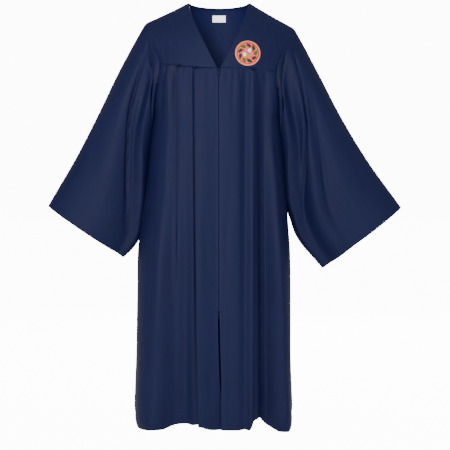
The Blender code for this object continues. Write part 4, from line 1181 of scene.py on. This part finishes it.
SLEEVE_FLAT = {RIGHT: ((0.690, 0.690), 0.340), LEFT: ((0.702, 0.716), 0.382)}
pressed_sleeves = {}
for side, word in SIDE_WORDS.items():
    grid = sleeve_grid(side)
    middle = ring_middles(grid)
    pressed_sleeves[side] = press_seams(grid, middle, ("top",))
    grid = turn_up(pressed_sleeves[side], middle, CUFF_DEPTH)
    grid = turn_in(grid, ring_middles(grid), ("top",))
    marks = PRESSED_EDGE * edge_marks(grid, ("bottom",))
    sleeve = thicken(surface(f"gown_sleeve_{word}", grid, POPLIN, closed=True, pressed=marks))
    flat, area = SLEEVE_FLAT[side]
    sewn(sleeve, f"sleeve_{word}", flat)

# %% [markdown]
# ## Small shapes, many times over
# Stitches and zip coils are one small shape repeated hundreds of times. Each is a lozenge of eight
# triangles. All the copies of a row become one mesh, each turned by its own three directions:
# along the thread, across it and out of the cloth.

# %% Small shapes, many times over
LOZENGE = np.array([[-1, 0, 0], [1, 0, 0], [0, -1, 0], [0, 1, 0], [0, 0, 1], [0, 0, -1]]) / 2
LOZENGE_FACES = np.array([
    (1, 3, 4), (3, 0, 4), (0, 2, 4), (2, 1, 4), (3, 1, 5), (0, 3, 5), (2, 0, 5), (1, 2, 5),
])


def lozenges(name, places, along, out, size, finish):
    """One mesh of lozenges: place + size times (along, out x along, out)."""
    out = unit(out - along * np.sum(out * along, axis=-1, keepdims=True))
    frames = np.stack([along, np.cross(out, along), out], axis=1)
    corners = places[:, None] + (LOZENGE * size) @ frames
    index = LOZENGE_FACES[None] + (np.arange(len(places)) * len(LOZENGE))[:, None, None]
    mesh = bpy.data.meshes.new(name)
    mesh.from_pydata(corners.reshape(-1, 3), [], index.reshape(-1, 3))
    made = in_scene(name, mesh, finish)
    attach(made, "gown")
    return made


STITCH, STITCH_GAP, STITCH_WIDTH, STITCH_FLATNESS = 0.0026, 0.0010, 0.0007, 0.8


def stitches(name, line, out, finish, stitch=STITCH, gap=STITCH_GAP):
    """Stitches along a line on the cloth: each is as long as the stitch, a gap from the next."""
    run = run_along(line)
    begins = np.arange(gap, run[-1] - stitch, stitch + gap)
    first, last = read_off(begins, run, line), read_off(begins + stitch, run, line)
    lift = read_off(begins + stitch / 2, run, out)
    places = (first + last) / 2 + unit(lift) * (CLOTH_THICKNESS / 2)
    size = np.array([stitch, STITCH_WIDTH, STITCH_WIDTH * STITCH_FLATNESS])
    return lozenges(name, places, unit(last - first), lift, size, finish)


print("a lozenge has", len(LOZENGE_FACES), "triangles")

# %% [markdown]
# ## Seam stitches
# Navy thread of the cloth's own shade holds the seam edges down. One row follows the V
# and the back neck 6 mm in, one lies above each yoke seam, and one holds each hem and cuff. Two
# more run down beside the zip and end in a bar of close stitches across the top of the slit.

# %% Seam stitches
NAVY_THREAD, _, _ = new_material(
    "polyester_thread_navy", Base_Color=linear("#10163C"), Roughness=0.6,
    Specular_IOR_Level=0.15,
)
SEAM_TO_STITCH, NECK_TO_STITCH, ZIP_TO_STITCH = 0.0048, 0.0060, 0.0090
HEM_TO_STITCH, CUFF_TO_STITCH = 0.0185, 0.0125
# The rows beside the zip run on a little past its end.
ZIP_ROWS_RUN_ON = 0.004


def anywhere(line):
    """All points of a line."""
    return np.full(len(line), True)


def above_slit(line):
    """Points of a line beside the zip that are above the slit."""
    return line[:, 2] > ZIP_END_Z - ZIP_ROWS_RUN_ON


def in_neck(line):
    """Points of a line round the back yoke's top that are in the back neck."""
    return np.abs(line[:, 0]) < NECK_HALF_WIDTH - NECK_TO_STITCH


rows_sewn = []
for side, word in SIDE_WORDS.items():
    yoke, front, sleeve = pressed_yokes[side], front_grids[side], pressed_sleeves[side]
    rows_sewn += [
        (f"yoke_stitches_{word}", yoke, YOKE_INSIDE, "bottom", SEAM_TO_STITCH, anywhere),
        (f"v_stitches_{word}", yoke, YOKE_INSIDE, "first", NECK_TO_STITCH, anywhere),
        (f"hem_stitches_front_{word}", front, BODY_INSIDE, "bottom", HEM_TO_STITCH, anywhere),
        (f"zip_stitches_{word}", front, BODY_INSIDE, "first", ZIP_TO_STITCH, above_slit),
        (f"cuff_stitches_{word}", sleeve, ring_middles(sleeve), "bottom", CUFF_TO_STITCH, anywhere),
    ]
rows_sewn += [
    ("yoke_stitches_back", pressed_back_yoke, YOKE_INSIDE, "bottom", SEAM_TO_STITCH, anywhere),
    ("neck_stitches_back", pressed_back_yoke, YOKE_INSIDE, "top", NECK_TO_STITCH, in_neck),
    ("hem_stitches_back", pressed_back, BODY_INSIDE, "bottom", HEM_TO_STITCH, anywhere),
]
stitch_count = 0
for name, grid, inside, edge, away, sewn_where in rows_sewn:
    line, out = line_beside(grid, inside, edge, away)
    kept = sewn_where(line)
    made = stitches(name, line[kept], out[kept], NAVY_THREAD)
    stitch_count += len(made.data.vertices) // len(LOZENGE)

BAR_STITCHES, BAR_HALF_WIDTH, BAR_Z = 16, 0.0085, ZIP_END_Z - 0.0015
BAR_LIFT, BAR_SLANT = 0.0003, (0.25, 0.0, 0.968)
BAR_STITCH = np.array([0.0042, 0.0011, 0.0009])
FORWARD = (0.0, -1.0, 0.0)
x = np.linspace(-BAR_HALF_WIDTH, BAR_HALF_WIDTH, BAR_STITCHES)
bar_y = -float(level(3, BAR_Z)) - CLOTH_THICKNESS / 2 - BAR_LIFT
places = np.stack([x, np.full_like(x, bar_y), np.full_like(x, BAR_Z)], axis=1)
up, out = (np.tile(way, (BAR_STITCHES, 1)) for way in (BAR_SLANT, FORWARD))
lozenges("zip_end_bar", places, up, out, BAR_STITCH, NAVY_THREAD)
print(len(rows_sewn), "rows of stitches,", stitch_count, "stitches")

# %% [markdown]
# ## Zip
# A gown closes with a fine nylon coil zip. Each tape is a woven strip 12 mm wide that lies
# flat behind the edge of its front, and a coil of nylon is sewn along its inner edge. Closed, the
# two coils mesh turn by turn, so the lozenges of one tape lie between those of the other. The
# slider and its pull keep their solids, which get the paint of enamelled zinc.

# %% Zip
TAPE_FROM, TAPE_TO, TAPE_BEHIND, TAPE_THICKNESS = 0.0004, 0.0125, 0.00165, 0.0005
TAPE_TOP_Z, TAPE_ROWS, TAPE_COLUMNS = -0.2000, 140, 8
COIL_PITCH, COIL_TURN = 0.0014, np.array([0.0030, 0.0011, 0.0013])
COIL_MIDDLE, COIL_TOP_Z, COIL_LIFT, COIL_LEAN = 0.0011, -0.2110, 0.0006, 0.12
TAPE_BOTTOM_Z, COIL_BOTTOM_Z = ZIP_END_Z + 0.0012, ZIP_END_Z + 0.004
TAPE_RIBS, TAPE_RIB_DEPTH = 0.0012, 0.0001

TAPE, tape_tree, tape_shader = new_material(
    "zip_tape_navy", Base_Color=linear("#0E1538"), Roughness=0.75, Specular_IOR_Level=0.2,
)
add_threads(tape_tree, tape_shader, TAPE_RIBS, "DIAGONAL", 0.5, TAPE_RIB_DEPTH)
COIL, _, _ = new_material(
    "zip_coil_nylon", Base_Color=linear("#141C44"), Roughness=0.35, Specular_IOR_Level=0.5,
)
ENAMEL, _, _ = new_material(
    "enamelled_zinc_navy", Base_Color=linear("#0E1436"), Roughness=0.62, Specular_IOR_Level=0.12,
)
z = np.linspace(TAPE_TOP_Z, TAPE_BOTTOM_Z, TAPE_ROWS)
coil_z = np.arange(COIL_TOP_Z, COIL_BOTTOM_Z, -COIL_PITCH)
for side, word in SIDE_WORDS.items():
    grid = np.empty((TAPE_ROWS, TAPE_COLUMNS, 3))
    grid[:, :, 0] = side * np.linspace(TAPE_FROM, TAPE_TO, TAPE_COLUMNS)
    grid[:, :, 1] = (TAPE_BEHIND - level(3, z))[:, None]
    grid[:, :, 2] = z[:, None]
    grid = grid if side == LEFT else grid[:, ::-1]
    tape = thicken(surface(f"zip_tape_cloth_{word}", grid, TAPE), TAPE_THICKNESS)
    sewn(tape, f"zip_tape_{word}", (0.0125, 0.704))
    heights = coil_z - (COIL_PITCH / 2 if side == LEFT else 0)
    count = len(heights)
    depth = TAPE_BEHIND - level(3, heights) - COIL_LIFT
    places = np.stack([np.full(count, side * COIL_MIDDLE), depth, heights], axis=1)
    sideways, out = (np.tile(way, (count, 1)) for way in ((1.0, 0.0, COIL_LEAN * side), FORWARD))
    lozenges(f"zip_coil_{word}", places, unit(sideways), out, COIL_TURN, COIL)
for node in ("zip_slider", "zip_pull_tab"):
    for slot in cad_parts[node].material_slots:
        slot.material = ENAMEL
        print(node, "is painted", slot.material.name)
print(count, "turns of coil on each tape")

# %% [markdown]
# ## Lying on a yoke
# The patch and the label lie on a yoke and follow its curve. A quadratic in x and z, fitted to
# the yoke's own points nearby, gives the curve, and its slope gives the way out of the cloth.


# %% Lying on a yoke
def nearby_curve(grid, x, z, reach):
    """Least squares fit of y = a + bu + cv + du^2 + euv + fv^2, with u = x' - x and v = z' - z."""
    points = grid.reshape(-1, 3)
    u, v = points[:, 0] - x, points[:, 2] - z
    near = np.hypot(u, v) < reach
    terms = np.stack([np.ones_like(u), u, v, u * u, u * v, v * v], axis=1)[near]
    return np.linalg.lstsq(terms, points[near, 1], rcond=None)[0]


def on_curve(curve, x, z, u, v, lift):
    """Points at u and v on the fitted curve, lifted from it toward the front."""
    a, b, c, d, e, f = curve
    y = a + b * u + c * v + d * u * u + e * u * v + f * v * v
    toward = unit(np.stack([b + 2 * d * u + e * v, -np.ones_like(u), c + e * u + 2 * f * v], axis=-1))
    return np.stack([x + u, y, z + v], axis=-1) + toward * np.asarray(lift)[..., None]


PATCH_X, PATCH_Z, PATCH_RADIUS, PATCH_FIT = 0.0838, -0.1560, 0.0368, 0.045
PATCH_CURVE = nearby_curve(yoke_grids[LEFT], PATCH_X, PATCH_Z, PATCH_FIT)
LABEL_WIDTH, LABEL_HEIGHT, LABEL_TOP_Z = 0.0400, 0.0200, -0.0290
LABEL_Z, LABEL_FIT = LABEL_TOP_Z - LABEL_HEIGHT / 2, 0.035
LABEL_CURVE = nearby_curve(back_yoke, 0.0, LABEL_Z, LABEL_FIT)
print("the yoke behind the patch slopes back", round(float(-PATCH_CURVE[2]), 2))

# %% [markdown]
# ## Neck label
# A blank woven label lies inside the back yoke, under the neck. It is white satin tape with both ends
# stitched down, so that its middle stands a little off the cloth. Its white is its own, and it also
# glows a little, which is painted light: it stays white in the shade of the neck.

# %% Neck label
LABEL_LIFT, LABEL_BULGE, LABEL_THICKNESS = 0.0007, 0.0007, 0.0004
LABEL_COLUMNS, LABEL_ROWS = 41, 21
RIPPLE_ACROSS, RIPPLE_DOWN = 0.0075, 0.02
SATIN_THREADS, SATIN_THREAD_DEPTH = 0.0008, 0.00008
END_POINTS, END_X, END_SHARE, END_LIFT = 30, 0.0186, 0.46, 0.0009
END_STITCH, END_GAP = 0.0022, 0.0009
# The emission is painted light: the label glows so that the neck's shade doesn't grey it.
SATIN_GLOWING, satin_tree, satin_shader = new_material(
    "woven_label_satin_white_glowing", Base_Color=linear("#FAFAF8"), Roughness=0.42,
    Emission_Color=linear("#F4F6FF"), Emission_Strength=1.5,
    Specular_IOR_Level=0.4, Sheen_Weight=0.2,
)
add_threads(satin_tree, satin_shader, SATIN_THREADS, "Y", 0.4, SATIN_THREAD_DEPTH)
WHITE_THREAD, _, _ = new_material("label_thread_white", Base_Color=linear("#E4E4E0"), Roughness=0.6)

u, v = np.meshgrid(
    np.linspace(-0.5, 0.5, LABEL_COLUMNS) * LABEL_WIDTH,
    np.linspace(0.5, -0.5, LABEL_ROWS) * LABEL_HEIGHT,
)
stands_off = 1 - (2 * u / LABEL_WIDTH) ** 4
ripple = 0.6 + 0.4 * np.cos(u / RIPPLE_ACROSS + v / RIPPLE_DOWN)
lift = LABEL_LIFT + LABEL_BULGE * stands_off * ripple
label_grid = on_curve(LABEL_CURVE, 0.0, LABEL_Z, u, v, lift)
label = thicken(surface("neck_label_satin", label_grid, SATIN_GLOWING), LABEL_THICKNESS)
label_flat = (LABEL_WIDTH, LABEL_HEIGHT)
sewn(label, "neck_label", label_flat)
for side, word in SIDE_WORDS.items():
    v = np.linspace(END_SHARE, -END_SHARE, END_POINTS) * LABEL_HEIGHT
    u, lift = np.full(END_POINTS, side * END_X), np.full(END_POINTS, END_LIFT)
    line = on_curve(LABEL_CURVE, 0.0, LABEL_Z, u, v, lift)
    out = np.tile(FORWARD, (END_POINTS, 1))
    name = f"label_stitches_{word}"
    stitches(name, line, out, WHITE_THREAD, END_STITCH, END_GAP)
print("label", LABEL_WIDTH * 1000, "x", LABEL_HEIGHT * 1000, "mm, left blank")

# %% [markdown]
# ## Embroidered patch
# The round patch on the left chest is peach twill, filled with satin stitch and bound by a
# thick overlocked rim. Its motif is a plain wreath: a blossom inside a circle of nine leaves,
# six buds between the two, and a red ring outside. Each shape is a low pad, highest along its
# middle, whose grooves show which way the needle went. Real threads are 0.4 mm wide and are
# drawn at 0.9 mm.

# %% Embroidered patch
GROUND_LIFT, GROUND_THICKNESS = 0.0017, 0.0010
PAD_RISE, RIM_WIDTH, RIM_HEIGHT = 0.0008, 0.0034, 0.0019
THREAD_SHOWN, THREAD_DEPTH, THREAD_WAVERS = 0.0009, 0.00025, 0.4


def embroidery_thread(name, hex_colour, direction):
    """Shiny thread of one colour, laid in that direction of the sheet."""
    made, tree, shader = new_material(
        name, Base_Color=linear(hex_colour), Roughness=0.42, Specular_IOR_Level=0.45,
        Sheen_Weight=0.15,
    )
    add_threads(tree, shader, THREAD_SHOWN, direction, 0.8, THREAD_DEPTH, THREAD_WAVERS)
    return made


THREADS = {
    name: embroidery_thread(f"embroidery_{name}", hex_colour, direction)
    for name, hex_colour, direction in (
        ("peach", "#F0744A", "X"), ("rim", "#F49068", "X"), ("pink", "#F4508C", "Y"),
        ("red", "#C40808", "X"), ("orange", "#EA4E04", "X"), ("ochre", "#C48A04", "Y"),
        ("olive", "#4C5E06", "X"), ("green", "#08301E", "X"), ("plum", "#2A0C3A", "X"),
        ("white", "#FFFDF8", "Y"),
    )
}


def patch_piece(name, grid, thread):
    """One sewn shape of the patch, closed round."""
    made = surface(name, grid, THREADS[thread], closed=True)
    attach(made, "gown")
    return made


def full_turn(count):
    """So many angles all the way round, in radians."""
    return np.linspace(0, 2 * math.pi, count, endpoint=False)


def on_patch(radius, angle, lift):
    """Points of the patch at these distances and angles from its middle."""
    u, v = radius * np.cos(angle), radius * np.sin(angle)
    return on_curve(PATCH_CURVE, PATCH_X, PATCH_Z, u, v, lift * np.ones_like(u))


# A pad is drawn as rings, each this share of its outline, and its edge dips into the ground.
PAD_POINTS, PAD_EDGE_DIPS = 28, 0.4
PAD_RINGS = np.array([1.0, 0.94, 0.80, 0.55, 0.25, 0.01])[:, None]


def pad(name, place, angle, length, width, thread, point, rise):
    """A leaf or petal: x = L/2 cos t, y = W/2 sin t (1 - p cos t), with rings inside, domed."""
    t = full_turn(PAD_POINTS)
    inward = PAD_RINGS
    high = np.sqrt(1 - inward**2) * np.ones_like(t)
    high[0] = -PAD_EDGE_DIPS
    along = inward * length / 2 * np.cos(t)
    across = inward * width / 2 * np.sin(t) * (1 - point * np.cos(t))
    angle = math.radians(angle)
    u = place[0] + along * math.cos(angle) - across * math.sin(angle)
    v = place[1] + along * math.sin(angle) + across * math.cos(angle)
    lift = GROUND_LIFT + GROUND_THICKNESS / 2 + rise * high
    return patch_piece(name, on_curve(PATCH_CURVE, PATCH_X, PATCH_Z, u, v, lift), thread)


def around(radius, angle):
    """A place on the patch, from its distance and angle from the middle."""
    return radius * math.cos(math.radians(angle)), radius * math.sin(math.radians(angle))


GROUND_RADIUS = PATCH_RADIUS - RIM_WIDTH / 2
radius = np.array([0.0001, 0.008, 0.016, 0.024, 0.030, GROUND_RADIUS])[:, None]
grid = on_patch(radius, full_turn(96), GROUND_LIFT)
ground = thicken(surface("patch_ground", grid, THREADS["peach"], closed=True), GROUND_THICKNESS)
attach(ground, "gown")
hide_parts("emblem_patch")

RIM_THREADS, RIM_THREAD_RISE = 200, 0.07
t = full_turn(RIM_THREADS * 4)
section = full_turn(10)[:, None]
ridge = 1 + RIM_THREAD_RISE * np.cos(RIM_THREADS * t + section)
radius = GROUND_RADIUS + RIM_WIDTH / 2 * np.cos(section) * ridge
rim = on_patch(radius, t, GROUND_LIFT + RIM_HEIGHT / 2 * np.sin(section) * ridge)
patch_piece("patch_rim", np.concatenate([rim, rim[:1]]), "rim")

RING_INNER, RING_OUTER, RING_RISE, RING_EDGE_DIPS = 0.0292, 0.0318, 1.2, 0.3
across = np.linspace(-1, 1, 7)[:, None]
radius = (RING_INNER + RING_OUTER) / 2 + (RING_OUTER - RING_INNER) / 2 * across
domed = RING_RISE * np.sqrt(1 - across**2) - RING_EDGE_DIPS
ring = on_patch(radius, full_turn(120), GROUND_LIFT + GROUND_THICKNESS / 2 + PAD_RISE * domed)
patch_piece("patch_ring", ring, "red")

# Columns: how many, distance and angle of the first, how far each is turned from its own
# angle, length, width, how pointed, rise over the usual, and its threads in turn.
CIRCLES_OF_PADS = (
    (9, 0.0232, 4, 58, 0.0172, 0.0098, 0.35, 1.0, ("olive", "green", "plum")),
    (6, 0.0162, 22, 0, 0.0064, 0.0060, 0.0, 1.2, ("red", "orange")),
    (5, 0.0092, 58, 0, 0.0128, 0.0102, -0.25, 1.1, ("white", "pink", "white", "ochre", "pink")),
    (1, 0.0, 0, 0, 0.0066, 0.0066, 0.0, 2.0, ("ochre",)),
    (7, 0.0052, 10, 0, 0.0020, 0.0020, 0.0, 2.2, ("plum",)),
)
pad_count = 0
for many, distance, first, turned, length, width, point, rise, threads in CIRCLES_OF_PADS:
    for number in range(many):
        way = first + 360 * number / many
        thread = threads[number % len(threads)]
        name = f"patch_pad_{pad_count}"
        turn = way + turned
        pad(name, around(distance, way), turn, length, width, thread, point, rise * PAD_RISE)
        pad_count += 1
print(pad_count, "pads, a ring and a rim of", RIM_THREADS, "threads")

# %% [markdown]
# ## Floor and light
# The photo has a plain white ground and even light from the front. A wide pale floor lies where
# the wearer would stand. Soft lamps stand before the gown, to both sides, above and behind it.

# %% Floor and light
# The camera sees a brighter ground than the one that lights the gown, so that the paper is white
# and the folds still have their shade.
GROUND_BRIGHTNESS, ROOM_LIGHT = 12.0, 0.60
FLOOR_Z = -1.40
FLOOR_SIZE = 30.0

pale, pale_tree, pale_shader = new_material(
    "pale_studio_floor", Roughness=0.9, Base_Color=linear("#F4F4F4"),
    Emission_Color=(1.0, 1.0, 1.0, 1.0),
)
seen = add(pale_tree, "ShaderNodeLightPath").outputs["Is Camera Ray"]
glow = add(pale_tree, "ShaderNodeMath", {0: seen, 1: GROUND_BRIGHTNESS}, operation="MULTIPLY")
pale_tree.links.new(glow.outputs[0], pale_shader.inputs["Emission Strength"])
half_floor = np.array([-FLOOR_SIZE / 2, FLOOR_SIZE / 2])
x, y = np.meshgrid(half_floor, half_floor)
floor = surface("studio_floor", np.stack([x, y, np.full_like(x, FLOOR_Z)], axis=-1), pale)

world = bpy.data.worlds.new("studio")
world.use_nodes = True
air = world.node_tree
room = air.nodes["Background"]
room.inputs["Strength"].default_value = ROOM_LIGHT
room.inputs["Color"].default_value = (1, 1, 1, 1)
paper = add(air, "ShaderNodeBackground", {"Color": (1, 1, 1, 1), "Strength": GROUND_BRIGHTNESS})
seen = add(air, "ShaderNodeLightPath").outputs["Is Camera Ray"]
both = add(air, "ShaderNodeMixShader", {0: seen, 1: room.outputs[0], 2: paper.outputs[0]})
air.links.new(both.outputs[0], air.nodes["World Output"].inputs["Surface"])
bpy.context.scene.world = world

# Columns: name, place, width, watts. Each lamp faces the middle of the gown.
LAMP_AIM = (0.0, 0.0, -0.62)
LAMPS = (
    ("key_lamp", (-0.80, -3.8, 0.10), 0.9, 77),
    ("left_lamp", (2.2, -3.2, -0.4), 1.6, 17),
    ("right_lamp", (-2.3, -3.1, -0.6), 1.6, 15),
    ("top_lamp", (-0.2, -2.4, 1.7), 1.0, 38),
    ("back_lamp", (0.4, 3.7, 0.5), 1.8, 150),
)
for name, place, width, watts in LAMPS:
    lamp = bpy.data.lights.new(name, "AREA")
    lamp.size = width
    lamp.energy = watts
    holder = bpy.data.objects.new(name, lamp)
    holder.location = place
    aim = Vector(LAMP_AIM) - Vector(place)
    holder.rotation_euler = aim.to_track_quat("-Z", "Y").to_euler()
    bpy.context.scene.collection.objects.link(holder)
print(len(LAMPS), "lamps")
